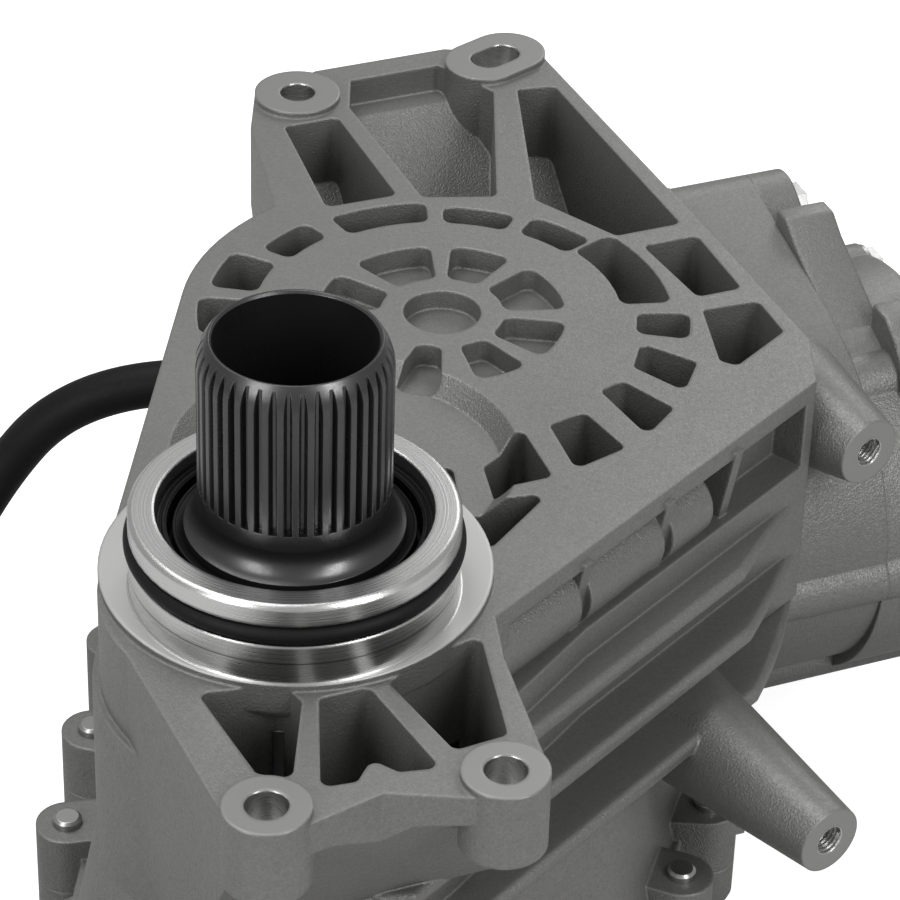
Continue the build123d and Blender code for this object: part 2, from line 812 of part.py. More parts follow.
def case_holes():
    """Ear holes, tapped holes and bolt holes of the case."""
    with BuildSketch() as ear_holes:
        with Locations(upper_ear, lower_left_ear, lower_right_ear):
            Circle(ear_hole_radius)
        with Locations(Location((slot_ear[0], slot_ear[1], 0), (0, 0, slot_angle))):
            SlotOverall(slot_length, slot_width)
    with BuildSketch() as tap:
        Circle(tap_radius)
    with BuildSketch() as cover_holes:
        with Locations(*cover_bolt_points):
            Circle(cover_bolt_radius)
    with BuildSketch() as dowel_holes:
        with Locations(*dowel_points):
            Circle(dowel_radius)
    with BuildSketch() as plug_hole:
        Circle(plug_radius)
    with BuildSketch() as housing_holes:
        with PolarLocations(housing_bolt_radius, 6, start_angle=housing_bolt_start):
            Circle(housing_bolt_shank)
        with Locations(upper_housing_ear):
            Circle(housing_bolt_shank)
    tools = [
        slab(ear_holes.sketch, 0, -ear_height),
        slab(cover_holes.sketch, joint_z + lobe_height, joint_z),
        pinion_frame.offset(side_face_x).location * extrude(housing_holes.sketch, amount=-housing_thread - 4),
    ]
    tools.append(slab(dowel_holes.sketch, joint_z + dowel_half, joint_z))
    for place in (fill_place, drain_place):
        tools.append(wall_frame(place).location * extrude(plug_hole.sketch, amount=-plug_length - 8))
    with BuildSketch() as nipple_hole:
        Circle(nipple_radius)
    tools.append(nipple_frame.location * extrude(nipple_hole.sketch, amount=-14))
    with BuildSketch() as spigot_hole:
        with Locations(low_spigot):
            Circle(low_spigot_hole)
    tools.append(slab(spigot_hole.sketch, low_spigot_top, low_spigot_top - low_spigot_depth))
    for mouth in (upper_tap_mouth, lower_tap_mouth):
        tools.append(tap_plane(mouth).location * extrude(tap.sketch, amount=-tap_depth))
    return tools


def make_main_case():
    """Main case: castings joined, pockets cut, bosses and fins added, then the inside and the holes."""
    castings = case_castings()
    pockets = case_pockets()
    ears = case_ears()
    fins = [cooling_fin(height, reach) for height, reach in fin_places]
    taps = [
        tapped_boss(upper_tap_mouth, upper_tap_radius, upper_tap_length),
        tapped_boss(lower_tap_mouth, lower_tap_radius, lower_tap_length),
    ]
    with BuildSketch() as boss:
        Circle(plug_boss)
    plug_bosses = []
    for place in (fill_place, drain_place):
        plug_bosses.append(wall_frame(place).location * extrude(boss.sketch, amount=-plug_stand - 2))
    with BuildSketch() as nipple_pad:
        Circle(8.5)
    nipple_boss = nipple_frame.location * extrude(nipple_pad.sketch, amount=-12)
    spigot = hull_body([(*low_spigot, low_spigot_radius)], low_spigot_top, joint_z)
    outside = [ears, side_bulges(), pilot_collar(), nipple_boss, spigot] + fins + taps + plug_bosses
    inside = [case_chambers()] + case_holes()
    with BuildPart() as main_case:
        add(castings)
        add(pockets, mode=Mode.SUBTRACT)
        add(outside)
        add(inside, mode=Mode.SUBTRACT)
    return finish(main_case.part, "main_case")


def bracket_bay(points, profile, left, right):
    """Open bay between the ribs of an ear bracket, its floor following the back of the bracket."""
    low = min(z for y, z in profile)
    with BuildPart() as bay:
        with BuildSketch(Plane.XY.offset(low)) as plan:
            Polygon(*points, align=None)
            fillet(plan.vertices(), window_corner)
        extrude(amount=2 - low)
        with BuildSketch(Plane.YZ.offset(left)):
            Polygon(*profile, align=None)
        extrude(amount=right - left, mode=Mode.INTERSECT)
    return bay.part


def side_recess():
    """Space under the overhanging web edge."""
    with BuildPart() as recess:
        with BuildSketch(side_plane(chamber_top_z + case_wall)):
            Polygon(
                (recess_start, -80),
                (recess_start, -bulge_inset),
                (recess_end, -bulge_inset),
                (recess_end, -80),
                align=None,
            )
        extrude(amount=web_top_z - 6 - chamber_top_z - case_wall)
    return recess.part


def side_bulges():
    """Half-round bulges of the wall below the web edge, with the gussets between them."""
    with BuildPart() as bulges:
        for start, end in bulge_spans:
            with BuildSketch(side_bulge_plane(start)):
                Circle(bulge_radius)
            extrude(amount=end - start)
        for place in gusset_places:
            with BuildSketch(side_bulge_plane(place - gusset_thickness / 2)):
                Polygon((-12, 20), (-12, -14), (bulge_radius, -14), (5, 20), align=None)
            extrude(amount=gusset_thickness)
    return bulges.part


def side_bulge_plane(along):
    """Plane across the side wall: x points out of the case, y up, at the height of the bulges."""
    origin = (
        along * wall_cos + bulge_inset * wall_sin,
        along * wall_sin - bulge_inset * wall_cos,
        bulge_z,
    )
    return Plane(origin=origin, x_dir=(wall_sin, -wall_cos, 0), z_dir=(wall_cos, wall_sin, 0))


def tap_plane(mouth):
    """Plane of the mouth of a tapped boss, its normal pointing out of the case."""
    across = math.cos(math.radians(boss_direction))
    back = math.sin(math.radians(boss_direction))
    return Plane(origin=mouth, x_dir=(-back, across, 0), z_dir=(across, back, 0))


def tapped_boss(mouth, radius, length):
    """Tapered mounting boss behind its machined mouth."""
    with BuildPart() as boss:
        with BuildSketch(tap_plane(mouth)):
            Circle(radius)
        with BuildSketch(tap_plane(mouth).offset(-length)):
            Circle(radius + tap_boss_growth)
        loft()
    return boss.part


# Rear cover


def make_rear_cover():
    """Rear cover: joint flange, body with bearing seats, idler column and stiffening ribs."""
    body_plan = [(x, y, radius - flange_rim) for x, y, radius in flange_plan]
    with BuildSketch() as lobes:
        with Locations(*cover_bolt_points):
            Circle(lobe_radius)
    with BuildSketch() as bosses:
        Circle(rear_bearing_radius + bearing_boss_wall)
        with Locations((ring_axis_x, ring_axis_y)):
            Circle(ring_bearing_radius + bearing_boss_wall)
    with BuildSketch() as column:
        with Locations((idler_x, idler_y)):
            Circle(idler_shaft_radius + 5)
    with BuildSketch() as seats:
        Circle(rear_bearing_radius)
        with Locations((ring_axis_x, ring_axis_y)):
            Circle(ring_bearing_radius)
    with BuildSketch() as shaft_hole:
        Circle(input_rear_radius + 2)
    with BuildSketch() as seal_seat:
        Circle(rear_seal_radius)
    with BuildSketch() as idler_hole:
        with Locations((idler_x, idler_y)):
            Circle(idler_shaft_radius)
    with BuildSketch() as bolt_holes:
        with Locations(*cover_bolt_points):
            Circle(cover_bolt_radius + 0.5)
    with BuildSketch() as dowel_holes:
        with Locations(*dowel_points):
            Circle(dowel_radius)
    flange_z = joint_z - cover_flange
    solids = [
        hull_body(flange_plan, joint_z, flange_z),
        slab(lobes.sketch, joint_z, flange_z),
        hull_body(body_plan, flange_z, cover_base_z + cover_boss_stand),
        slab(bosses.sketch, joint_z - 4, cover_base_z),
        slab(column.sketch, gear_bottom_z - idler_side_gap, joint_z),
    ]
    for place in cover_foot_points:
        with BuildSketch() as foot:
            with Locations(place):
                Circle(foot_radius)
        solids.append(slab(foot.sketch, joint_z - 4, cover_base_z))
    seat_floor = rear_input_z - input_bearing_width / 2 - shim_thickness
    ring_floor = rear_ring_z - ring_bearing_width / 2 - shim_thickness
    cuts = [
        slab(shaft_hole.sketch, joint_z + 1, cover_base_z),
        slab(seal_seat.sketch, cover_base_z + rear_seal_width, cover_base_z),
        slab(idler_hole.sketch, gear_bottom_z, idler_shaft_bottom),
        slab(bolt_holes.sketch, joint_z, flange_z),
        slab(dowel_holes.sketch, joint_z, joint_z - dowel_half),
        slab(seats.sketch.faces().sort_by(Axis.X)[0], joint_z, seat_floor),
        slab(seats.sketch.faces().sort_by(Axis.X)[-1], joint_z, ring_floor),
    ]
    with BuildPart() as rear_cover:
        add(solids)
        add(cuts, mode=Mode.SUBTRACT)
    return finish(rear_cover.part, "rear_cover")


# Input shaft and its gear


def make_input_shaft():
    """Hollow input shaft: splined end, seal land, bearing seats and gear seat."""
    gear_foot = gear_bottom_z - 3
    with BuildPart() as input_shaft:
        with BuildSketch(Plane.XZ):
            with BuildLine():
                Polyline(
                    (shaft_bore_radius, shaft_bottom_z),
                    (shaft_bore_radius, shaft_top_z - 0.6),
                    (shaft_bore_radius + 0.6, shaft_top_z),
                )
                Line((shaft_bore_radius + 0.6, shaft_top_z), (shaft_rim_radius, shaft_top_z))
                ThreePointArc(
                    (shaft_rim_radius, shaft_top_z),
                    (spline_radius - 0.9, shaft_top_z - shaft_nose / 2 + 0.4),
                    (spline_radius, shaft_top_z - shaft_nose),
                )
                Line((spline_radius, shaft_top_z - shaft_nose), (spline_radius, flare_top_z))
                ThreePointArc(
                    (spline_radius, flare_top_z),
                    (spline_radius + 0.8, flare_top_z - 5.0),
                    (seal_land_radius, seal_land_top),
                )
                Polyline(
                    (seal_land_radius, seal_land_top),
                    (seal_land_radius, gear_top_z),
                    (input_gear_seat, gear_top_z),
                    (input_gear_seat, gear_bottom_z),
                    (input_gear_seat + 4, gear_bottom_z),
                    (input_gear_seat + 4, gear_foot),
                    (input_rear_radius + 2, gear_foot),
                    (input_rear_radius + 2, joint_z + 4),
                    (input_rear_radius, joint_z + 4),
                    (input_rear_radius, shaft_bottom_z),
                    (shaft_bore_radius, shaft_bottom_z),
                )
            make_face()
        revolve(axis=Axis.Z)
        with BuildSketch(Plane.XY.offset(spline_start_z)):
            with PolarLocations(0, spline_teeth):
                Polygon(*spline_gap, align=None)
        extrude(amount=shaft_top_z - spline_start_z, mode=Mode.SUBTRACT)
    return finish(input_shaft.part, "input_shaft")


def make_spur_gear(name, centre, teeth, bore, phase):
    """Spur gear of the train, on its own shaft."""
    with BuildPart() as gear:
        with BuildSketch(Plane(origin=(centre[0], centre[1], gear_bottom_z))):
            Polygon(*gear_points(teeth, gear_module, tooth_backlash, phase), align=None)
            Circle(bore, mode=Mode.SUBTRACT)
        extrude(amount=gear_width)
    return finish(gear.part, name)


# Ring shaft with the bevel ring gear


def make_ring_shaft():
    """Shaft that carries the driven gear and the bevel ring gear."""
    front_end = front_ring_z + ring_bearing_width / 2 - 1
    rear_end = rear_ring_z - ring_bearing_width / 2 + 1
    with BuildPart() as ring_shaft:
        with BuildSketch(Plane.XZ.offset(-ring_axis_y)):
            with Locations((ring_axis_x, 0)):
                Polygon(
                    (0, rear_end),
                    (ring_rear_seat, rear_end),
                    (ring_rear_seat, ring_back_z),
                    (ring_body_radius, ring_back_z),
                    (ring_body_radius, gear_bottom_z),
                    (ring_body_radius - 1, gear_bottom_z),
                    (ring_body_radius - 1, gear_top_z),
                    (ring_front_seat, gear_top_z),
                    (ring_front_seat, front_end),
                    (0, front_end),
                    align=None,
                )
        revolve(axis=Axis((ring_axis_x, ring_axis_y, 0), (0, 0, 1)))
    return finish(ring_shaft.part, "ring_shaft")


def bevel_gear(teeth, pitch_radius, mate_radius, body_points, first_angle):
    """Bevel gear about +Z with its apex at the origin: a turned body and its teeth."""
    tooth = bevel_tooth(pitch_radius, mate_radius, bevel_backlash)
    with BuildPart() as gear:
        with BuildSketch(Plane.XZ):
            Polygon(*body_points, align=None)
        revolve(axis=Axis.Z)
        with PolarLocations(0, teeth, start_angle=first_angle):
            add(tooth)
    return gear.part


def make_ring_gear():
    """Bevel ring gear, its teeth facing the input side."""
    heel, toe = bevel_root_points(ring_pitch_radius, pinion_pitch_radius)
    back = pinion_z - ring_back_z
    body = [
        (ring_body_radius, toe[1] + 2),
        (toe[0] - 3, toe[1] + 2),
        toe,
        heel,
        (heel[0], back),
        (ring_body_radius, back),
    ]
    gear = bevel_gear(ring_teeth, ring_pitch_radius, pinion_pitch_radius, body, 0)
    return finish(gear.moved(ring_bevel_frame.location), "ring_gear")


# Output side


def make_pinion_shaft():
    """Bevel pinion in one piece with its shaft, bearing seats, flange seat and thread."""
    heel, toe = bevel_root_points(pinion_pitch_radius, ring_pitch_radius)
    start = spigot_start_x - ring_axis_x
    inner_end = inner_pinion_x + pinion_bearing_width / 2 - ring_axis_x
    hub_start = output_hub_x - ring_axis_x
    nut_seat = output_web_x - ring_axis_x
    end = output_face_x - 2 - ring_axis_x
    body = [
        (0, toe[1]),
        toe,
        heel,
        (pinion_seat_radius + 4, start),
        (pinion_seat_radius, start),
        (pinion_seat_radius, inner_end),
        (pinion_outer_seat, inner_end),
        (pinion_outer_seat, hub_start),
        (pinion_flange_seat, hub_start),
        (pinion_flange_seat, nut_seat),
        (pinion_thread_radius, nut_seat),
        (pinion_thread_radius, end),
        (0, end),
    ]
    half_pitch = 180 / pinion_teeth
    gear = bevel_gear(pinion_teeth, pinion_pitch_radius, ring_pitch_radius, body, half_pitch)
    return finish(gear.moved(pinion_bevel_frame.location), "pinion_shaft")


def make_pinion_housing():
    """Pinion housing: spigot, bolted flange with lobes, ribbed barrel and seal nose."""
    nose = housing_nose_radius
    drum_end = side_face_x + housing_drum
    lug_end = side_face_x + housing_lug
    ear = (upper_housing_ear[0], upper_housing_ear[1], housing_ear_radius)
    with BuildSketch() as lobes:
        with PolarLocations(housing_bolt_radius, 6, start_angle=housing_bolt_start):
            Circle(lobe_radius)
    with BuildSketch() as holes:
        with PolarLocations(housing_bolt_radius, 6, start_angle=housing_bolt_start):
            Circle(housing_bolt_shank + 0.5)
        with Locations(upper_housing_ear):
            Circle(housing_bolt_shank + 0.5)
    with BuildPart() as barrel:
        with BuildSketch(Plane.XZ):
            Polygon(
                (0, spigot_start_x),
                (spigot_radius, spigot_start_x),
                (spigot_radius, side_face_x),
                (housing_rim_radius, side_face_x),
                (housing_rim_radius, drum_end),
                (spigot_radius + 3, drum_end),
                (nose, housing_end_x - 12),
                (nose, housing_end_x),
                (0, housing_end_x),
                align=None,
            )
        revolve(axis=Axis.Z)
    with BuildPart() as bore:
        with BuildSketch(Plane.XZ):
            Polygon(
                (0, spigot_start_x - 1),
                (pinion_inner_bearing, spigot_start_x - 1),
                (pinion_inner_bearing, inner_pinion_x + pinion_bearing_width / 2),
                (pinion_outer_bearing - 4, inner_pinion_x + pinion_bearing_width / 2),
                (pinion_outer_bearing - 4, outer_pinion_x - pinion_bearing_width / 2),
                (pinion_outer_bearing, outer_pinion_x - pinion_bearing_width / 2),
                (pinion_outer_bearing, output_seal_x),
                (output_seal_radius, output_seal_x),
                (output_seal_radius, housing_end_x + 1),
                (0, housing_end_x + 1),
                align=None,
            )
        revolve(axis=Axis.Z)
    ribs = []
    for turn in range(6):
        with BuildSketch(Plane.XZ.offset(-rib_width / 2)) as rib:
            Polygon(
                (spigot_radius - 6, drum_end - 2),
                (housing_rim_radius - 2, drum_end - 2),
                (nose + 1, housing_end_x - 6),
                (nose - 3, housing_end_x - 6),
                align=None,
            )
        ribs.append(extrude(rib.sketch, amount=rib_width).rotate(Axis.Z, 60 * turn + housing_bolt_start + 30))
    solids = [
        barrel.part,
        slab(lobes.sketch, drum_end, side_face_x),
        hull_body([(0, 0, spigot_radius), ear], lug_end, side_face_x),
    ] + ribs
    cuts = [bore.part, slab(holes.sketch, drum_end, side_face_x)]
    with BuildPart() as housing:
        add(solids)
        add(cuts, mode=Mode.SUBTRACT)
    return finish(housing.part.moved(pinion_frame.location), "pinion_housing")


def turned_ring(name, frame, points):
    """Turned piece from its half section (radius, height), on the axis of a frame."""
    with BuildPart() as ring:
        with BuildSketch(Plane.XZ):
            Polygon(*points, align=None)
        revolve(axis=Axis.Z)
    return finish(ring.part.moved(frame.location), name)


def lip_seal(name, frame, shaft, outer, low, high):
    """Shaft seal: outer case, web and a lip that clears the shaft by a running fit."""
    wall = 3.0
    lip = shaft + running_fit
    return turned_ring(
        name,
        frame,
        [
            (outer, low),
            (outer, high),
            (outer - wall, high),
            (outer - wall, low + wall),
            (lip + wall, low + wall),
            (lip + wall - 1, high - 1),
            (lip, high - 2),
            (lip, low),
        ],
    )


def make_output_flange():
    """Output flange: hub on the pinion shaft, disc with bolt holes and a recess for the nut."""
    with BuildPart() as flange:
        with BuildSketch(Plane.XZ):
            Polygon(
                (pinion_flange_seat, output_hub_x),
                (output_hub_radius, output_hub_x),
                (output_hub_radius, output_face_x - 14),
                (output_flange_radius, output_face_x - 10),
                (output_flange_radius, output_face_x),
                (nut_recess_radius, output_face_x),
                (nut_recess_radius, output_web_x),
                (pinion_flange_seat, output_web_x),
                align=None,
            )
        revolve(axis=Axis.Z)
        with BuildSketch(Plane.XY.offset(output_face_x - 16)):
            with PolarLocations(output_bolt_circle, 6):
                Circle(output_bolt_hole)
        extrude(amount=16, mode=Mode.SUBTRACT)
    return finish(flange.part.moved(pinion_frame.location), "output_flange")


def make_pinion_nut():
    """Hex nut that holds the output flange on the pinion shaft."""
    with BuildPart() as nut:
        with BuildSketch(Plane.XY.offset(output_web_x)):
            RegularPolygon(pinion_thread_radius * 1.6, 6, major_radius=False)
            Circle(pinion_thread_radius, mode=Mode.SUBTRACT)
        extrude(amount=7)
    return finish(nut.part.moved(pinion_frame.location), "pinion_nut")


def make_bolts():
    """Bolts of the joint flange and of the pinion housing, one piece for each set."""
    cover_bolt = flange_bolt(cover_bolt_radius, cover_flange + lobe_height + tip_stand, bolt_head_height)
    seats = [Location((x, y, joint_z - cover_flange)) for x, y in cover_bolt_points]
    finish(Compound(children=[cover_bolt.moved(seat) for seat in seats]), "cover_bolts")
    housing_places = [
        Location((housing_bolt_radius * math.cos(angle), housing_bolt_radius * math.sin(angle), 0))
        for angle in [math.radians(housing_bolt_start + 60 * turn) for turn in range(6)]
    ]
    ear_place = Location((upper_housing_ear[0], upper_housing_ear[1], 0))
    bolts = []
    for grip, places in ((housing_drum, housing_places), (housing_lug, [ear_place])):
        bolt = flange_bolt(housing_bolt_shank, grip + housing_thread, bolt_head_height)
        seat = pinion_frame.offset(side_face_x + grip).location
        for place in places:
            bolts.append(bolt.mirror(Plane.XY).moved(seat * place))
    finish(Compound(children=bolts), "pinion_housing_bolts")


def make_bearings():
    """Tapered roller bearings, two on each of the three shafts."""
    input_frame = Plane.XY
    taper_bearing(
        "input_front_bearing",
        input_frame.offset(front_input_z),
        seal_land_radius,
        front_bearing_radius,
        input_bearing_width,
        1,
    )
    taper_bearing(
        "input_rear_bearing",
        input_frame.offset(rear_input_z),
        input_rear_radius,
        rear_bearing_radius,
        input_bearing_width,
        -1,
    )
    taper_bearing(
        "ring_front_bearing",
        ring_frame.offset(front_ring_z),
        ring_front_seat,
        ring_bearing_radius,
        ring_bearing_width,
        1,
    )
    taper_bearing(
        "ring_rear_bearing",
        ring_frame.offset(rear_ring_z),
        ring_rear_seat,
        ring_bearing_radius,
        ring_bearing_width,
        -1,
    )
    taper_bearing(
        "pinion_inner_bearing",
        pinion_frame.offset(inner_pinion_x),
        pinion_seat_radius,
        pinion_inner_bearing,
        pinion_bearing_width,
        -1,
    )
    taper_bearing(
        "pinion_outer_bearing",
        pinion_frame.offset(outer_pinion_x),
        pinion_outer_seat,
        pinion_outer_bearing,
        pinion_bearing_width,
        1,
    )


def make_plugs():
    """Fill and drain plug, each with its sealing washer."""
    for name, place in (("fill_plug", fill_place), ("drain_plug", drain_place)):
        frame = wall_frame(place)
        with BuildPart() as plug:
            with BuildSketch():
                Circle(plug_radius)
            extrude(amount=-plug_length)
            with BuildSketch():
                Circle(plug_radius + 3)
            extrude(amount=washer_thickness + 2.5)
            with BuildSketch(Plane.XY.offset(washer_thickness + 2.5)):
                RegularPolygon(plug_radius, 6)
            extrude(amount=6)
            with BuildSketch():
                Circle(plug_radius + 3)
                Circle(plug_radius, mode=Mode.SUBTRACT)
            extrude(amount=washer_thickness, mode=Mode.SUBTRACT)
        finish(plug.part.moved(frame.location), name)
        with BuildPart() as washer:
            with BuildSketch():
                Circle(plug_radius + 3.5)
                Circle(plug_radius, mode=Mode.SUBTRACT)
            extrude(amount=washer_thickness)
        finish(washer.part.moved(frame.location), name + "_washer")


def make_vent():
    """Vent nipple, rubber hose, clip and the cap at the free end."""
    with BuildPart() as nipple:
        with BuildSketch():
            Circle(nipple_radius)
        extrude(amount=-10)
        with BuildSketch():
            RegularPolygon(7, 6)
        extrude(amount=nipple_hex)
        with BuildSketch(Plane.XY.offset(nipple_hex)):
            Circle(nipple_radius)
        extrude(amount=nipple_barb)
        with BuildSketch(Plane.XY.offset(-10)):
            Circle(nipple_radius - 1.75)
        extrude(amount=10 + nipple_hex + nipple_barb, mode=Mode.SUBTRACT)
    finish(nipple.part.moved(nipple_frame.location), "vent_nipple")
    with BuildPart() as clip:
        with BuildSketch(Plane.XY.offset(nipple_hex + 1)):
            Circle(hose_radius + 0.8)
            Circle(hose_radius, mode=Mode.SUBTRACT)
            with Locations((hose_radius + 3.3, 0)):
                Rectangle(5.4, 4)
        extrude(amount=clip_width)
    finish(clip.part.moved(nipple_frame.location), "vent_hose_clip")
    back_way = (-hose_way[1], hose_way[0])
    floor = cover_base_z + hose_radius - nipple_z
    route = [
        (nipple_hex, 0, 0),
        (42.8, 0, 0),
        (78.0, 0, -47.9),
        (98.0, 20.0, floor),
        (118.3, 74.5, floor),
        (115.0, 134.5, floor),
        (95.0, 189.0, floor),
        (89.0, 244.0, floor),
        (101.0, 292.6, floor),
    ]
    points = []
    for along, aside, up in route:
        x = nipple_frame.origin.X + along * hose_way[0] + aside * back_way[0]
        y = nipple_frame.origin.Y + along * hose_way[1] + aside * back_way[1]
        points.append((x, y, nipple_z + up))
    with BuildPart() as hose:
        with BuildLine() as route_line:
            FilletPolyline(*points, radius=hose_radii)
        path = route_line.wire()
        start = Plane(origin=path @ 0, z_dir=path % 0)
        with BuildSketch(start):
            Circle(hose_radius)
            Circle(nipple_radius, mode=Mode.SUBTRACT)
        sweep(path=path)
    print("hose radii", hose_radii, "length", round(path.length, 1))
    finish(hose.part, "vent_hose")
    end = Plane(origin=path @ 1, z_dir=path % 1)
    with BuildPart() as cap:
        with BuildSketch(end.offset(-9)):
            Circle(nipple_radius)
        extrude(amount=9)
        with BuildSketch(end):
            Circle(hose_radius)
        extrude(amount=8)
    finish(cap.part, "vent_cap")


make_main_case()
make_rear_cover()
make_input_shaft()
idler_phase = meshed_phase(0.0, input_teeth, axis_angle - idler_turn, idler_teeth)
idler_to_ring_angle = math.atan2(ring_axis_y - idler_y, ring_axis_x - idler_x)
driven_phase = meshed_phase(idler_phase, idler_teeth, idler_to_ring_angle, driven_teeth)
make_spur_gear("input_gear", (0, 0), input_teeth, input_gear_seat, 0.0)
make_spur_gear("idler_gear", (idler_x, idler_y), idler_teeth, idler_shaft_radius + bush_wall, idler_phase)
make_spur_gear("driven_gear", (ring_axis_x, ring_axis_y), driven_teeth, ring_body_radius - 1, driven_phase)
idler_frame = Plane(origin=(idler_x, idler_y, 0))
turned_ring(
    "idler_shaft",
    idler_frame,
    [
        (0, idler_shaft_bottom),
        (idler_shaft_radius, idler_shaft_bottom),
        (idler_shaft_radius, idler_shaft_top),
        (0, idler_shaft_top),
    ],
)
turned_ring(
    "idler_bush",
    idler_frame,
    [
        (idler_shaft_radius + running_fit, gear_bottom_z),
        (idler_shaft_radius + bush_wall, gear_bottom_z),
        (idler_shaft_radius + bush_wall, gear_top_z),
        (idler_shaft_radius + running_fit, gear_top_z),
    ],
)
make_ring_shaft()
make_ring_gear()
make_pinion_shaft()
make_pinion_housing()
make_output_flange()
make_pinion_nut()
make_bearings()
make_bolts()
make_plugs()
make_vent()
with BuildPart() as cover_dowels:
    with BuildSketch(Plane.XY.offset(joint_z - dowel_half)):
        with Locations(*dowel_points):
            Circle(dowel_radius)
            Circle(dowel_radius - 1.5, mode=Mode.SUBTRACT)
    extrude(amount=2 * dowel_half)
finish(cover_dowels.part, "cover_dowels")
for shim_name, shim_frame, shim_radius, shim_top in (
    ("input_bearing_shim", Plane.XY, rear_bearing_radius, rear_input_z - input_bearing_width / 2),
    ("ring_bearing_shim", ring_frame, ring_bearing_radius, rear_ring_z - ring_bearing_width / 2),
):
    turned_ring(
        shim_name,
        shim_frame,
        [
            (shim_radius, shim_top),
            (shim_radius - 2.8, shim_top),
            (shim_radius - 2.8, shim_top - shim_thickness),
            (shim_radius, shim_top - shim_thickness),
        ],
    )
lip_seal("input_seal", Plane.XY, seal_land_radius, seal_bore_radius, seal_floor_z, seal_top_z)
lip_seal(
    "rear_shaft_seal",
    Plane(origin=(0, 0, 0), x_dir=(1, 0, 0), z_dir=(0, 0, -1)),
    input_rear_radius,
    rear_seal_radius,
    -cover_base_z - rear_seal_width,
    -cover_base_z - 0.5,
)
lip_seal(
    "output_seal",
    pinion_frame,
    output_hub_radius,
    output_seal_radius,
    output_seal_x,
    housing_end_x - 0.5,
)
turned_ring(
    "pinion_spacer",
    pinion_frame,
    [
        (pinion_outer_seat, inner_pinion_x + pinion_bearing_width / 2),
        (pinion_outer_seat + 4, inner_pinion_x + pinion_bearing_width / 2),
        (pinion_outer_seat + 6, (inner_pinion_x + outer_pinion_x) / 2),
        (pinion_outer_seat + 4, outer_pinion_x - pinion_bearing_width / 2),
        (pinion_outer_seat, outer_pinion_x - pinion_bearing_width / 2),
    ],
)
with BuildPart() as collar_o_ring:
    with BuildSketch(Plane.XZ):
        with Locations((collar_radius - groove_depth + o_ring_radius, (groove_bottom_z + groove_top_z) / 2)):
            Circle(o_ring_radius)
    revolve(axis=Axis.Z)
finish(collar_o_ring.part, "collar_o_ring")
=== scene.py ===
# %% [markdown]
# # Transverse transfer case
# The case is a shot-blast aluminium casting with a splined input shaft, a pilot
# collar and four mounting ears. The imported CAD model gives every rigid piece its
# place and size. This script gives the pieces their finish, lays the vent hose, adds
# the threads, the beads of the seal and two cast pads, and sets up the studio.
# Everything is in metres, with +Z along the input shaft. Sizes of the part are
# written in millimetres and multiplied by MM; those of the studio are in metres.

import bpy
import json
import math
from mathutils import Matrix, Vector


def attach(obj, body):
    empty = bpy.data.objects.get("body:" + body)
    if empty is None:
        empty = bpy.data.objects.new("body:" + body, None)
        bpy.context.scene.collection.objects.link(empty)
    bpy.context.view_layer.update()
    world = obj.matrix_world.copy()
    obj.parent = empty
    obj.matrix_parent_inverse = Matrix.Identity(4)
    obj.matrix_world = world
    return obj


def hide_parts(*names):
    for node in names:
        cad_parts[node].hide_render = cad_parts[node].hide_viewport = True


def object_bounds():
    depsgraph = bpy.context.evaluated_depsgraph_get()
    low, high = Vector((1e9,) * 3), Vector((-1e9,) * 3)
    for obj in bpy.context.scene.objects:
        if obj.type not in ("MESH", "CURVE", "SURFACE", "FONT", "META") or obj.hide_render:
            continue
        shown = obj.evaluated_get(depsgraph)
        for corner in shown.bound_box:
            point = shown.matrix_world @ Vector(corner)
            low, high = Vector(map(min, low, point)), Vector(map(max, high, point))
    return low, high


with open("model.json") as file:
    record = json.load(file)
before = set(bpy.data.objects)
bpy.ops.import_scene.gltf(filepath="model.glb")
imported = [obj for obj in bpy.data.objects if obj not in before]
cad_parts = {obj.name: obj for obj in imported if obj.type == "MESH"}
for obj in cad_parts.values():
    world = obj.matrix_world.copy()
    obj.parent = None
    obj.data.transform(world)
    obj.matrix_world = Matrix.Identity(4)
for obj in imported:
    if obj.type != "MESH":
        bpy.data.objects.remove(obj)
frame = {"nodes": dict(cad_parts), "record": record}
cad_low, cad_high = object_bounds()
MM = 0.001
print("CAD box in mm:", [round(side / MM) for side in cad_high - cad_low])

# %% [markdown]
# ## The camera
# The photograph was taken from above the input side with a long lens, so the
# picture has little perspective. The camera's place and direction were solved from
# the round collar, the ear holes and the spline, which have known sizes. The
# standard view transform keeps the studio's white as white.

# %% Set the camera
camera_place = Vector((-263.734, -724.604, 579.161)) * MM
camera_right = Vector((0.928225, -0.371085, 0.026349))
camera_up = Vector((0.192339, 0.539327, 0.819837))
camera_back = camera_right.cross(camera_up)
camera_axes = Matrix((camera_right, camera_up, camera_back)).transposed()
focal_length = 152.0
nearest_seen = 0.05
farthest_seen = 20.0
bpy.ops.object.camera_add(location=camera_place)
camera = bpy.context.object
camera.rotation_euler = camera_axes.to_euler()
camera.data.lens = focal_length
camera.data.clip_start = nearest_seen
camera.data.clip_end = farthest_seen
bpy.context.scene.camera = camera
bpy.context.scene.view_settings.view_transform = "Standard"
print("camera lens", camera.data.lens, "mm")

# %% [markdown]
# ## The vent hose
# A black rubber hose leaves the back of the case, bends down to the bench and lies
# there beside the case, with a small cap in its free end. The route is a short list
# of points, and a NURBS curve through it makes one smooth line. Blender counts the
# radius of each curve point in the size of the object, so the points carry the real
# radius of the hose, and the bevel depth is a plain 1 that they scale.


# %% Route of the hose
def level_way(degrees):
    """Level direction at an angle from the X axis."""
    angle = math.radians(degrees)
    return Vector((math.cos(angle), math.sin(angle), 0.0))


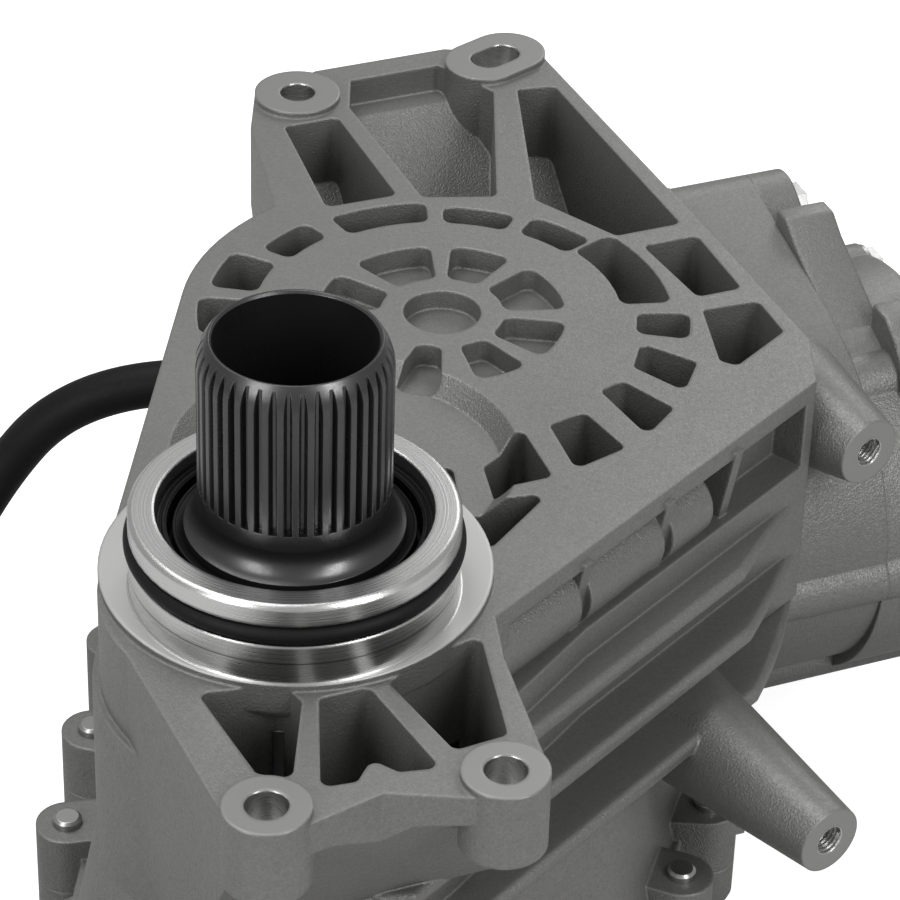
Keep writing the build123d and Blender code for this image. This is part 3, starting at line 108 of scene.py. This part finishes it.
ring_axis = Vector((83.0, 107.4, 0.0)) * MM
ring_chamber = 73.0
case_wall = 4.5
nipple_seat = 5.0
nipple_reach = (ring_chamber + case_wall + nipple_seat) * MM
nipple_z = -62.0 * MM
hose_radius = 7.0 * MM
hose_way = level_way(158.2)
hose_aside = Vector((-hose_way.y, hose_way.x, 0.0))
hose_start = ring_axis + level_way(120.0) * nipple_reach
hose_start.z = nipple_z
floor_z = cad_low.z
lying = (floor_z + hose_radius - nipple_z) / MM
hose_route = [
    (5.5, 0.0, 0.0),
    (42.8, 0.0, 0.0),
    (78.0, 0.0, -47.9),
    (98.0, 20.0, lying),
    (118.3, 74.5, lying),
    (115.0, 134.5, lying),
    (95.0, 189.0, lying),
    (89.0, 244.0, lying),
    (101.0, 292.6, lying),
]


def hose_point(along, aside, up):
    """Point of the route, from millimetres along, beside and above the nipple."""
    level = hose_start + hose_way * along * MM + hose_aside * aside * MM
    return level + Vector((0, 0, up * MM))


hose_points = [hose_point(*step) for step in hose_route]
print("hose route of", len(hose_points), "points")

# %% Lay the hose as a smooth curve
hose_curve = bpy.data.curves.new("vent_hose_line", "CURVE")
hose_curve.dimensions = "3D"
hose_curve.bevel_depth = 1.0
hose_curve.bevel_resolution = 8
hose_curve.use_fill_caps = True
hose_curve.resolution_u = 24
hose_spline = hose_curve.splines.new("NURBS")
hose_spline.points.add(len(hose_points) - 1)
for spline_point, place in zip(hose_spline.points, hose_points):
    spline_point.co = (place.x, place.y, place.z, 1.0)
    spline_point.radius = hose_radius
hose_spline.order_u = 3
hose_spline.use_endpoint_u = True
vent_hose = bpy.data.objects.new("rubber_vent_hose", hose_curve)
bpy.context.scene.collection.objects.link(vent_hose)
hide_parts("vent_hose")
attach(vent_hose, "case")
print("hose laid")

# %% [markdown]
# ## Modelling steps that repeat
# The threads, the seal beads and the pads are modelled by the same few steps:
# nothing else is selected first, a new primitive has its placing applied, and a
# swept piece is cleaned up at the end.

# %% Steps for all new pieces
merge_distance = 0.001 * MM
most_hole_sides = 4


def deselect_all():
    """Leave nothing selected, so that an operator acts on the new piece alone."""
    for thing in bpy.context.selected_objects:
        thing.select_set(False)


def apply_placing():
    """Put the origin back at zero, with no turn and no scale."""
    bpy.ops.object.transform_apply(location=True, rotation=True, scale=True)


def settle():
    """Merge doubles, fill open ends and turn all faces outwards on the active piece."""
    bpy.ops.object.mode_set(mode="EDIT")
    bpy.ops.mesh.select_all(action="SELECT")
    bpy.ops.mesh.remove_doubles(threshold=merge_distance)
    bpy.ops.mesh.fill_holes(sides=most_hole_sides)
    bpy.ops.mesh.normals_make_consistent(inside=False)
    bpy.ops.object.mode_set(mode="OBJECT")


print("modelling steps ready")

# %% [markdown]
# ## Threads in the tapped bosses
# The mouths of the two side bosses show their screw threads as bright turns. A
# thread is one triangle carried along a helix. A circle with three corners is stood
# upright beside the axis, the Screw modifier winds it into the hole, and its two open
# ends are filled. The second thread is a copy with its own mesh.

# %% Wind one thread
tap_mouths = (Vector((184.0, 36.0, -27.0)) * MM, Vector((135.8, -47.4, -88.0)) * MM)
tap_way = level_way(-75.0)
tap_radius = 4.25 * MM
tap_depth = 22.0 * MM
thread_pitch = 1.25 * MM
thread_turns = 14
steps_per_turn = 40
ridge_size = 0.5 * MM
ridge_sink = 0.3 * ridge_size
ridge_place = (tap_radius - ridge_sink, 0.0, -(thread_turns + 1) * thread_pitch)
ridge_upright = Matrix(((0.0, -1.0, 0.0), (0.0, 0.0, -1.0), (1.0, 0.0, 0.0))).to_euler()

deselect_all()
bpy.ops.mesh.primitive_circle_add(
    vertices=3, radius=ridge_size, location=ridge_place, rotation=ridge_upright
)
upper_thread = bpy.context.object
upper_thread.name = "upper_tap_thread"
apply_placing()
winding = upper_thread.modifiers.new("winding", "SCREW")
winding.axis = "Z"
winding.angle = math.tau
winding.screw_offset = thread_pitch
winding.iterations = thread_turns
winding.steps = steps_per_turn
winding.render_steps = steps_per_turn
bpy.ops.object.modifier_apply(modifier=winding.name)
settle()
print("thread of", len(upper_thread.data.polygons), "faces")

# %% Set a thread in each boss
lower_thread = upper_thread.copy()
lower_thread.data = upper_thread.data.copy()
lower_thread.name = "lower_tap_thread"
bpy.context.scene.collection.objects.link(lower_thread)
threads = (upper_thread, lower_thread)
for thread, mouth in zip(threads, tap_mouths):
    deselect_all()
    thread.select_set(True)
    bpy.context.view_layer.objects.active = thread
    thread.rotation_euler = tap_way.to_track_quat("Z", "Y").to_euler()
    thread.location = mouth
    apply_placing()
    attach(thread, "case")
print("threads set in", len(tap_mouths), "bosses")

# %% [markdown]
# ## Beads of the input seal
# The face of the shaft seal is moulded with raised beads, which catch a thin line of
# light in the dark gap round the shaft. Each bead is a small circle that is spun once
# round the shaft axis. The inner bead lies on the lip, a little lower than the others.

# %% Spin the beads
bead_height = 18.9 * MM
bead_corners = 16
spin_steps = 120
bead_rings = (  # distance from the shaft axis, radius of the bead and its drop
    (33.0, 0.55, 0.0),
    (34.4, 0.55, 0.0),
    (30.3, 0.45, 1.1),
)
beads = []
for bead_reach, bead_size, bead_drop in bead_rings:
    deselect_all()
    bpy.ops.mesh.primitive_circle_add(
        vertices=bead_corners,
        radius=bead_size * MM,
        location=(bead_reach * MM, 0.0, bead_height - bead_drop * MM),
        rotation=(math.pi / 2, 0.0, 0.0),
    )
    beads.append(bpy.context.object)
    apply_placing()
    bpy.ops.object.mode_set(mode="EDIT")
    bpy.ops.mesh.select_all(action="SELECT")
    bpy.ops.mesh.spin(
        steps=spin_steps, angle=math.tau, center=(0.0, 0.0, 0.0), axis=(0.0, 0.0, 1.0)
    )
    bpy.ops.object.mode_set(mode="OBJECT")
    settle()
    bpy.ops.object.shade_smooth()
deselect_all()
for bead in beads:
    bead.select_set(True)
seal_beads = beads[0]
bpy.context.view_layer.objects.active = seal_beads
bpy.ops.object.join()
seal_beads.name = "input_seal_beads"
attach(seal_beads, "case")
print("seal beads of", len(seal_beads.data.polygons), "faces")

# %% [markdown]
# ## Cast pads on the pinion housing
# The top of the housing is not smooth. A raised pad stands beside its joint with the
# case and a lower one on its drum, each with a flat strip along its far edge and a
# slope in front. A block is cut twice across with bisect, its front is lowered so
# that it runs out into the casting, and its corners are rounded with a bevel, as
# sand-cast pads are.

# %% Steps for a pad
pad_rounding = 1.1 * MM
pad_smooth_angle = math.radians(40.0)
corner_margin = 0.1


def lower_top(pad, top, limit, drop):
    """Lower the corners of the top that lie in front of a limit, in millimetres."""
    bpy.ops.object.mode_set(mode="EDIT")
    bpy.ops.mesh.select_all(action="DESELECT")
    bpy.ops.object.mode_set(mode="OBJECT")
    for corner in pad.data.vertices:
        on_top = corner.co.z > (top - corner_margin) * MM
        corner.select = on_top and corner.co.y < limit * MM
    bpy.ops.object.mode_set(mode="EDIT")
    bpy.ops.transform.translate(value=(0.0, 0.0, -drop * MM))
    bpy.ops.object.mode_set(mode="OBJECT")


def cast_pad(name, low, high, strip, slope, drop, sink):
    """Pad between two corners in millimetres: a flat strip, a slope, a falling front."""
    deselect_all()
    centre = [(first + second) / 2 * MM for first, second in zip(low, high)]
    size = [(second - first) * MM for first, second in zip(low, high)]
    bpy.ops.mesh.primitive_cube_add(size=1.0, location=centre, scale=size)
    pad = bpy.context.object
    pad.name = name
    apply_placing()
    front, top = low[1], high[2]
    slope_top = high[1] - strip
    bpy.ops.object.mode_set(mode="EDIT")
    for cut in (slope_top, slope_top - slope):
        bpy.ops.mesh.select_all(action="SELECT")
        bpy.ops.mesh.bisect(plane_co=(0.0, cut * MM, 0.0), plane_no=(0.0, 1.0, 0.0))
    bpy.ops.object.mode_set(mode="OBJECT")
    lower_top(pad, top, slope_top - corner_margin, drop)
    lower_top(pad, top - drop, front + corner_margin, sink)
    rounding = pad.modifiers.new("rounding", "BEVEL")
    rounding.width = pad_rounding
    rounding.segments = 4
    bpy.ops.object.modifier_apply(modifier=rounding.name)
    bpy.ops.object.shade_smooth_by_angle(angle=pad_smooth_angle)
    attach(pad, "case")
    return pad


print("pad steps ready")

# %% Model the pads
joint_pad = cast_pad(
    "housing_joint_pad",
    low=(200.05, 88.0, -40.0),
    high=(216.0, 132.5, -6.0),
    strip=6.5,
    slope=6.0,
    drop=4.5,
    sink=16.5,
)
drum_pad = cast_pad(
    "housing_drum_pad",
    low=(212.5, 66.0, -44.0),
    high=(230.0, 92.0, -17.5),
    strip=8.0,
    slope=7.0,
    drop=4.0,
    sink=12.0,
)
print("pads", joint_pad.name, "and", drum_pad.name)

# %% [markdown]
# ## Materials
# A casting is never one flat colour. Shot blasting leaves a fine grain of bright
# and dark specks, the colour is made lighter along the corners, and machined faces
# are smoother and brighter. Each finish below has a node tree of its own, built on
# the piece's Object coordinates so that nothing slides when a part turns.


# %% Helpers for node trees
def fill_socket(tree, socket, source):
    """Link a socket to another one, or give it a plain value or colour."""
    if hasattr(source, "is_output"):
        tree.links.new(source, socket)
    elif isinstance(source, tuple):
        socket.default_value = (*source, 1.0)
    else:
        socket.default_value = source


def new_material(name):
    """Empty material with its Principled shader, its node tree and a coordinate node."""
    material = bpy.data.materials.new(name)
    material.use_nodes = True
    tree = material.node_tree
    shader = tree.nodes["Principled BSDF"]
    coordinates = tree.nodes.new("ShaderNodeTexCoord")
    return material, tree, shader, coordinates.outputs["Object"]


def noise(tree, vector, scale, detail=3.0):
    """Noise texture of a scale in features per metre."""
    node = tree.nodes.new("ShaderNodeTexNoise")
    node.inputs["Scale"].default_value = scale
    node.inputs["Detail"].default_value = detail
    node.inputs["Roughness"].default_value = 0.55
    tree.links.new(vector, node.inputs["Vector"])
    return node.outputs["Fac"]


def ramp(tree, value, low, high, dark, light):
    """Colours between two levels of a value."""
    node = tree.nodes.new("ShaderNodeValToRGB")
    stops = node.color_ramp.elements
    for stop, level, colour in ((stops[0], low, dark), (stops[1], high, light)):
        stop.position = level
        stop.color = (*colour, 1.0)
    tree.links.new(value, node.inputs["Fac"])
    return node.outputs["Color"]


def spread(tree, value, low, high, out_low, out_high):
    """Value mapped from one range to another."""
    node = tree.nodes.new("ShaderNodeMapRange")
    node.inputs["From Min"].default_value = low
    node.inputs["From Max"].default_value = high
    node.inputs["To Min"].default_value = out_low
    node.inputs["To Max"].default_value = out_high
    tree.links.new(value, node.inputs["Value"])
    return node.outputs["Result"]


def mix_colour(tree, factor, first, second, blend="MIX"):
    """Mixture of two colours; a plain tuple or a socket may be given for each."""
    node = tree.nodes.new("ShaderNodeMix")
    node.data_type = "RGBA"
    node.blend_type = blend
    fill_socket(tree, node.inputs[0], factor)
    fill_socket(tree, node.inputs[6], first)
    fill_socket(tree, node.inputs[7], second)
    return node.outputs[2]


def maths(tree, kind, first, second, third=None, clamp=False):
    """One step of arithmetic on sockets or plain numbers."""
    node = tree.nodes.new("ShaderNodeMath")
    node.operation = kind
    node.use_clamp = clamp
    fill_socket(tree, node.inputs[0], first)
    fill_socket(tree, node.inputs[1], second)
    if third is not None:
        fill_socket(tree, node.inputs[2], third)
    return node.outputs[0]


def both(tree, first, second):
    """Product of two values, which is 1 where two masks are both 1."""
    return maths(tree, "MULTIPLY", first, second)


def either(tree, first, second):
    """Greater of two values, which is 1 where one of two masks is 1."""
    return maths(tree, "MAXIMUM", first, second)


def vector_step(tree, kind, first, second):
    """One step of arithmetic on vectors."""
    node = tree.nodes.new("ShaderNodeVectorMath")
    node.operation = kind
    tree.links.new(first, node.inputs[0])
    if hasattr(second, "is_output"):
        tree.links.new(second, node.inputs[1])
    else:
        node.inputs[1].default_value = second
    return node


def rounded_edges(tree, radius):
    """Normal that rounds sharp edges, and a mask that is 1 along them."""
    bevel = tree.nodes.new("ShaderNodeBevel")
    bevel.samples = 6
    bevel.inputs["Radius"].default_value = radius
    rounded = bevel.outputs["Normal"]
    geometry = tree.nodes.new("ShaderNodeNewGeometry")
    closeness = vector_step(tree, "DOT_PRODUCT", rounded, geometry.outputs["True Normal"])
    mask = spread(tree, closeness.outputs["Value"], 0.98, 0.80, 0.0, 1.0)
    return rounded, mask


def bumped(tree, height, strength, distance, normal):
    """Bump from a height, on top of a given normal."""
    node = tree.nodes.new("ShaderNodeBump")
    node.inputs["Strength"].default_value = strength
    node.inputs["Distance"].default_value = distance
    tree.links.new(height, node.inputs["Height"])
    tree.links.new(normal, node.inputs["Normal"])
    return node.outputs["Normal"]


print("node helpers ready")

# %% [markdown]
# ### Where the casting was cut
# Faces that were cut after casting show brighter metal: the turned pilot collar, the
# ear faces with their holes, and the mouths of the two tapped side bosses. Each of
# them is picked by its place, as a mask between 0 and 1.


# %% Masks by place
def above(tree, value, limit):
    """1 where a value is over a limit."""
    return maths(tree, "GREATER_THAN", value, limit)


def below(tree, value, limit):
    """1 where a value is under a limit."""
    return maths(tree, "LESS_THAN", value, limit)


def point_distance(tree, position, place):
    """Distance from a point, in metres."""
    return vector_step(tree, "DISTANCE", position, place).outputs["Value"]


def axis_distance(tree, position, x, y):
    """Distance from an upright axis at x and y in millimetres, in metres."""
    flat = vector_step(tree, "MULTIPLY", position, (1.0, 1.0, 0.0)).outputs["Vector"]
    return point_distance(tree, flat, (x * MM, y * MM, 0.0))


def along(tree, position, place, way):
    """How far a point lies beyond a place in one direction, in metres."""
    offset = vector_step(tree, "SUBTRACT", position, place).outputs["Vector"]
    return vector_step(tree, "DOT_PRODUCT", offset, way).outputs["Value"]


def line_distance(tree, position, place, way):
    """Distance from a line through a place, in metres."""
    offset = vector_step(tree, "SUBTRACT", position, place).outputs["Vector"]
    aside = vector_step(tree, "CROSS_PRODUCT", offset, way).outputs["Vector"]
    return point_distance(tree, aside, (0.0, 0.0, 0.0))


def height_of(tree, vector):
    """Third coordinate of a point, its height above the ear faces, or of a normal."""
    split = tree.nodes.new("ShaderNodeSeparateXYZ")
    tree.links.new(vector, split.inputs[0])
    return split.outputs[2]


print("masks ready")

# %% [markdown]
# ### Cast aluminium
# Shot blasting leaves a grain of about half a millimetre, finer and smoother on the
# flat web than on the walls. Soft stains lie over it, and the colour is lighter along
# its corners. The Bevel node finds those corners and rounds them a little, as a sand
# mould does.

# %% Colours of the casting
cast_dark = (0.160, 0.160, 0.154)
cast_light = (0.205, 0.205, 0.198)
cast_edge = (0.30, 0.30, 0.29)
stain_dark = (0.93, 0.93, 0.93)
ear_face = (0.235, 0.235, 0.23)
land_face = (0.46, 0.46, 0.455)
turned_bright = (0.62, 0.62, 0.615)
tool_line_dark = (0.25, 0.25, 0.25)
white = (1.0, 1.0, 1.0)
fine_grain = 1800.0
coarse_grain = 700.0
stain_grain = 30.0
fine_share = 0.65
corner_radius = 1.2 * MM
corner_lightening = 0.5


def cast_skin(tree, position):
    """Colour of the blasted skin, its specks, and the normal of its rounded corners."""
    grain = both(tree, noise(tree, position, fine_grain, 2.0), fine_share)
    coarse = both(tree, noise(tree, position, coarse_grain, 2.0), 1.0 - fine_share)
    stains = noise(tree, position, stain_grain, 4.0)
    speckle = maths(tree, "ADD", grain, coarse)
    skin = ramp(tree, speckle, 0.36, 0.64, cast_dark, cast_light)
    stain = ramp(tree, stains, 0.3, 0.72, stain_dark, white)
    skin = mix_colour(tree, 1.0, skin, stain, "MULTIPLY")
    edge_normal, edge_mask = rounded_edges(tree, corner_radius)
    # The colour is made lighter along the corners that the Bevel node finds, convex and
    # concave alike.
    skin = mix_colour(tree, both(tree, edge_mask, corner_lightening), skin, cast_edge)
    return skin, speckle, edge_normal


print("colours of the casting ready")

# %% Places of the cut faces
ear_holes = (  # x, y and how far the bright wall reaches from there, in millimetres
    (85.9, 235.1, 7.0),
    (152.1, 236.3, 9.5),
    (-35.9, -79.9, 7.0),
    (21.9, -87.1, 7.0),
)
cut_margin = 0.3 * MM
turned_reach = 42.6 * MM
land_centre = (3.0, 7.4)
land_reach = 51.0 * MM
mouth_reach = 11.0 * MM
hole_margin = 0.2 * MM
upright_limit = 0.5


def collar_masks(tree, position):
    """Masks of the faces at the height of the ears, the turned collar and its land."""
    faced = above(tree, height_of(tree, position), -cut_margin)
    collar_reach = axis_distance(tree, position, 0.0, 0.0)
    turned = both(tree, faced, below(tree, collar_reach, turned_reach))
    from_land = axis_distance(tree, position, *land_centre)
    land = both(tree, faced, below(tree, from_land, land_reach))
    return faced, turned, land, collar_reach


def hole_mask(tree, position, upward):
    """Mask of the walls of the ear holes."""
    upright = below(tree, upward, upright_limit)
    holes = 0.0
    for x, y, reach in ear_holes:
        near_hole = below(tree, axis_distance(tree, position, x, y), reach * MM)
        holes = either(tree, holes, both(tree, near_hole, upright))
    return holes


def tap_masks(tree, position):
    """Masks of the faces of the tapped bosses and of the walls of their holes."""
    faces = holes = 0.0
    for mouth in tap_mouths:
        at_mouth = below(tree, point_distance(tree, position, mouth), mouth_reach)
        beyond = along(tree, position, mouth, tap_way)
        faces = either(tree, faces, both(tree, at_mouth, above(tree, beyond, -cut_margin)))
        from_axis = line_distance(tree, position, mouth, tap_way)
        in_hole = below(tree, from_axis, tap_radius + hole_margin)
        holes = either(tree, holes, both(tree, in_hole, above(tree, beyond, -tap_depth)))
    return faces, holes


print("masks of the cut faces ready")

# %% [markdown]
# ### Putting the casting together
# The skin comes first, then the cut faces over it. Cut faces have no pits, and the
# turned collar has fine tool rings and one dark line where the tool stopped.

# %% Cast aluminium
tool_line_height = 6.2 * MM
tool_line_width = 0.22 * MM
ring_grain = 2600.0
ring_depth = 0.10
pit_grain = 1700.0
pit_strength = 0.75
pit_depth = 0.35 * MM
flat_pits = 0.35
skin_rough = (0.52, 0.40)
faced_rough = (0.42, 0.42, 0.42)
turned_rough = (0.25, 0.33)
skin_metallic = 0.55


def tool_rings(tree, collar_reach, height):
    """Noise that changes only outwards and upwards, as the rings of a lathe tool do."""
    rings = tree.nodes.new("ShaderNodeTexNoise")
    rings.noise_dimensions = "1D"
    rings.inputs["Scale"].default_value = ring_grain
    tree.links.new(maths(tree, "ADD", collar_reach, height), rings.inputs["W"])
    return rings.outputs["Fac"]


def make_cast_aluminium():
    """Blasted skin, lighter along its corners, with brighter faces where it was cut."""
    material, tree, shader, position = new_material("cast_aluminium")
    skin, speckle, edge_normal = cast_skin(tree, position)
    faced, turned, land, collar_reach = collar_masks(tree, position)
    geometry = tree.nodes.new("ShaderNodeNewGeometry")
    upward = height_of(tree, geometry.outputs["Normal"])
    boss_faces, boss_holes = tap_masks(tree, position)
    faced = either(tree, faced, boss_faces)
    bright = either(tree, turned, hole_mask(tree, position, upward))
    bright = either(tree, bright, boss_holes)

    colour = mix_colour(tree, faced, skin, ear_face)
    colour = mix_colour(tree, land, colour, land_face)
    colour = mix_colour(tree, bright, colour, turned_bright)
    height = height_of(tree, position)
    tool_line = maths(tree, "COMPARE", height, tool_line_height, tool_line_width)
    colour = mix_colour(tree, both(tree, tool_line, turned), colour, tool_line_dark)
    tree.links.new(colour, shader.inputs["Base Color"])

    rings = tool_rings(tree, collar_reach, height)
    rough = spread(tree, speckle, 0.34, 0.66, *skin_rough)
    rough = mix_colour(tree, faced, rough, faced_rough)
    ring_rough = spread(tree, rings, 0.3, 0.7, *turned_rough)
    rough = mix_colour(tree, bright, rough, ring_rough)
    tree.links.new(rough, shader.inputs["Roughness"])
    metallic = spread(tree, bright, 0.0, 1.0, skin_metallic, 1.0)
    tree.links.new(metallic, shader.inputs["Metallic"])

    blasted = spread(tree, upward, 0.75, 0.98, 1.0, flat_pits)
    blasted = maths(tree, "SUBTRACT", blasted, either(tree, faced, bright), clamp=True)
    pits = both(tree, noise(tree, position, pit_grain, 1.0), blasted)
    marks = both(tree, rings, both(tree, turned, ring_depth))
    surface = maths(tree, "ADD", pits, marks)
    surface_normal = bumped(tree, surface, pit_strength, pit_depth, edge_normal)
    tree.links.new(surface_normal, shader.inputs["Normal"])
    return material


cast_aluminium = make_cast_aluminium()
print("material", cast_aluminium.name)

# %% [markdown]
# ### Steels, rubber and the small metals
# The input shaft is phosphated nearly black with a soft sheen. Gears and shafts
# inside are ground steel. Bolts are zinc plated, the hose and seals are matte
# rubber, and the bush and washers are copper alloys.

# %% Finishes with their own wear
cloud_share = 25.0
finish_edge = 0.3 * MM
finish_bump = 0.1 * MM
rough_change = 0.06
rubber_sheen = 0.15
plain_finishes = {  # dark and light colour, roughness, metallic, grain and bump
    "machined_steel": ((0.36, 0.36, 0.37), (0.5, 0.5, 0.5), 0.3, 1.0, 900.0, 0.08),
    "dark_steel": ((0.075, 0.075, 0.076), (0.098, 0.098, 0.099), 0.31, 0.92, 1500.0, 0.05),
    "plated_steel": ((0.34, 0.35, 0.34), (0.46, 0.46, 0.45), 0.34, 1.0, 700.0, 0.08),
    "black_rubber": ((0.004, 0.004, 0.004), (0.008, 0.008, 0.008), 0.55, 0.0, 900.0, 0.12),
    "bronze": ((0.42, 0.28, 0.12), (0.6, 0.42, 0.2), 0.35, 1.0, 800.0, 0.1),
    "copper_washer": ((0.5, 0.24, 0.13), (0.68, 0.36, 0.22), 0.35, 1.0, 800.0, 0.1),
    "black_plastic": ((0.016, 0.016, 0.017), (0.03, 0.03, 0.03), 0.5, 0.0, 600.0, 0.15),
}


def make_finish(name, dark, light, rough, metallic, grain_scale, bump):
    """Finish with a fine grain between two colours, softened edges and small bumps."""
    material, tree, shader, position = new_material(name)
    grain = noise(tree, position, grain_scale)
    clouds = noise(tree, position, grain_scale / cloud_share, 2.0)
    mixed = maths(tree, "ADD", both(tree, grain, 0.5), both(tree, clouds, 0.5))
    colour = ramp(tree, mixed, 0.3, 0.7, dark, light)
    tree.links.new(colour, shader.inputs["Base Color"])
    wear = spread(tree, mixed, 0.3, 0.7, rough + rough_change, rough - rough_change)
    tree.links.new(wear, shader.inputs["Roughness"])
    shader.inputs["Metallic"].default_value = metallic
    edge_normal, _ = rounded_edges(tree, finish_edge)
    surface_normal = bumped(tree, grain, bump, finish_bump, edge_normal)
    tree.links.new(surface_normal, shader.inputs["Normal"])
    if metallic == 0.0:
        shader.inputs["Specular IOR Level"].default_value = rubber_sheen
    return material


finishes = {"cast_aluminium": cast_aluminium}
for finish_name, settings in plain_finishes.items():
    finishes[finish_name] = make_finish(finish_name, *settings)
print("finishes:", sorted(finishes))

# %% Give every piece its finish
for subpart in frame["record"]["subparts"]:
    node = frame["nodes"][subpart["node"]]
    finish = finishes[subpart["material_slot"]]
    if not node.material_slots:
        node.data.materials.append(finish)
    for material_slot in node.material_slots:
        material_slot.material = finish
for piece in (vent_hose, seal_beads):
    piece.data.materials.append(finishes["black_rubber"])
for piece in (*threads, joint_pad, drum_pad):
    piece.data.materials.append(cast_aluminium)

# %% [markdown]
# ## The studio
# A product photograph like this has a white sweep, one large soft light from above
# and a fill from each side, so that the casting shows soft, grey shading. The camera
# sees the floor and the air as white. As lights they are weaker, which keeps the
# shading of the casting.

# %% Floor
floor_side = 8.0
floor_gap = 0.2 * MM
floor_glow = 0.8
floor_dark = (0.50, 0.50, 0.50)
floor_light = (0.53, 0.53, 0.53)
floor_rough = 0.8
bpy.ops.mesh.primitive_plane_add(size=floor_side, location=(0.0, 0.0, floor_z - floor_gap))
floor = bpy.context.object
floor.name = "studio_floor"
floor_material, floor_tree, floor_shader, floor_position = new_material("studio_floor")
floor_grain = noise(floor_tree, floor_position, 3.0)
floor_tint = ramp(floor_tree, floor_grain, 0.3, 0.7, floor_dark, floor_light)
floor_tree.links.new(floor_tint, floor_shader.inputs["Base Color"])
floor_shader.inputs["Roughness"].default_value = floor_rough
floor_path = floor_tree.nodes.new("ShaderNodeLightPath")
seen_white = both(floor_tree, floor_path.outputs["Is Camera Ray"], floor_glow)
floor_shader.inputs["Emission Color"].default_value = (*white, 1.0)
floor_tree.links.new(seen_white, floor_shader.inputs["Emission Strength"])
floor.data.materials.append(floor_material)
print("floor laid")

# %% Lights
middle = Vector((0.06, 0.08, -0.05))
softboxes = (  # name, place, width, height and power in watts
    ("top_light", (-0.2, 0.5, 1.5), 1.1, 1.1, 15.0),
    ("left_light", (-1.25, -0.60, 0.75), 0.5, 1.1, 12.0),
    ("right_light", (0.50, -1.05, 0.80), 0.35, 1.0, 11.0),
    ("rim_light", (1.2, 1.2, 0.9), 0.8, 0.8, 6.0),
)
for softbox_name, place, width, height, power in softboxes:
    bpy.ops.object.light_add(type="AREA", location=place)
    softbox = bpy.context.object
    softbox.name = softbox_name
    softbox.data.shape = "RECTANGLE"
    softbox.data.size = width
    softbox.data.size_y = height
    softbox.data.energy = power
    aim = middle - Vector(place)
    softbox.rotation_euler = aim.to_track_quat("-Z", "Y").to_euler()
print("softboxes:", len(softboxes))

# %% Air behind the object
air_light = 0.42
air_seen = 1.0
world = bpy.data.worlds.new("studio_air")
world.use_nodes = True
air = world.node_tree
backdrop = air.nodes["Background"]
backdrop.inputs["Color"].default_value = (*white, 1.0)
air_path = air.nodes.new("ShaderNodeLightPath")
air_level = spread(air, air_path.outputs["Is Camera Ray"], 0.0, 1.0, air_light, air_seen)
air.links.new(air_level, backdrop.inputs["Strength"])
bpy.context.scene.world = world
print("studio set")
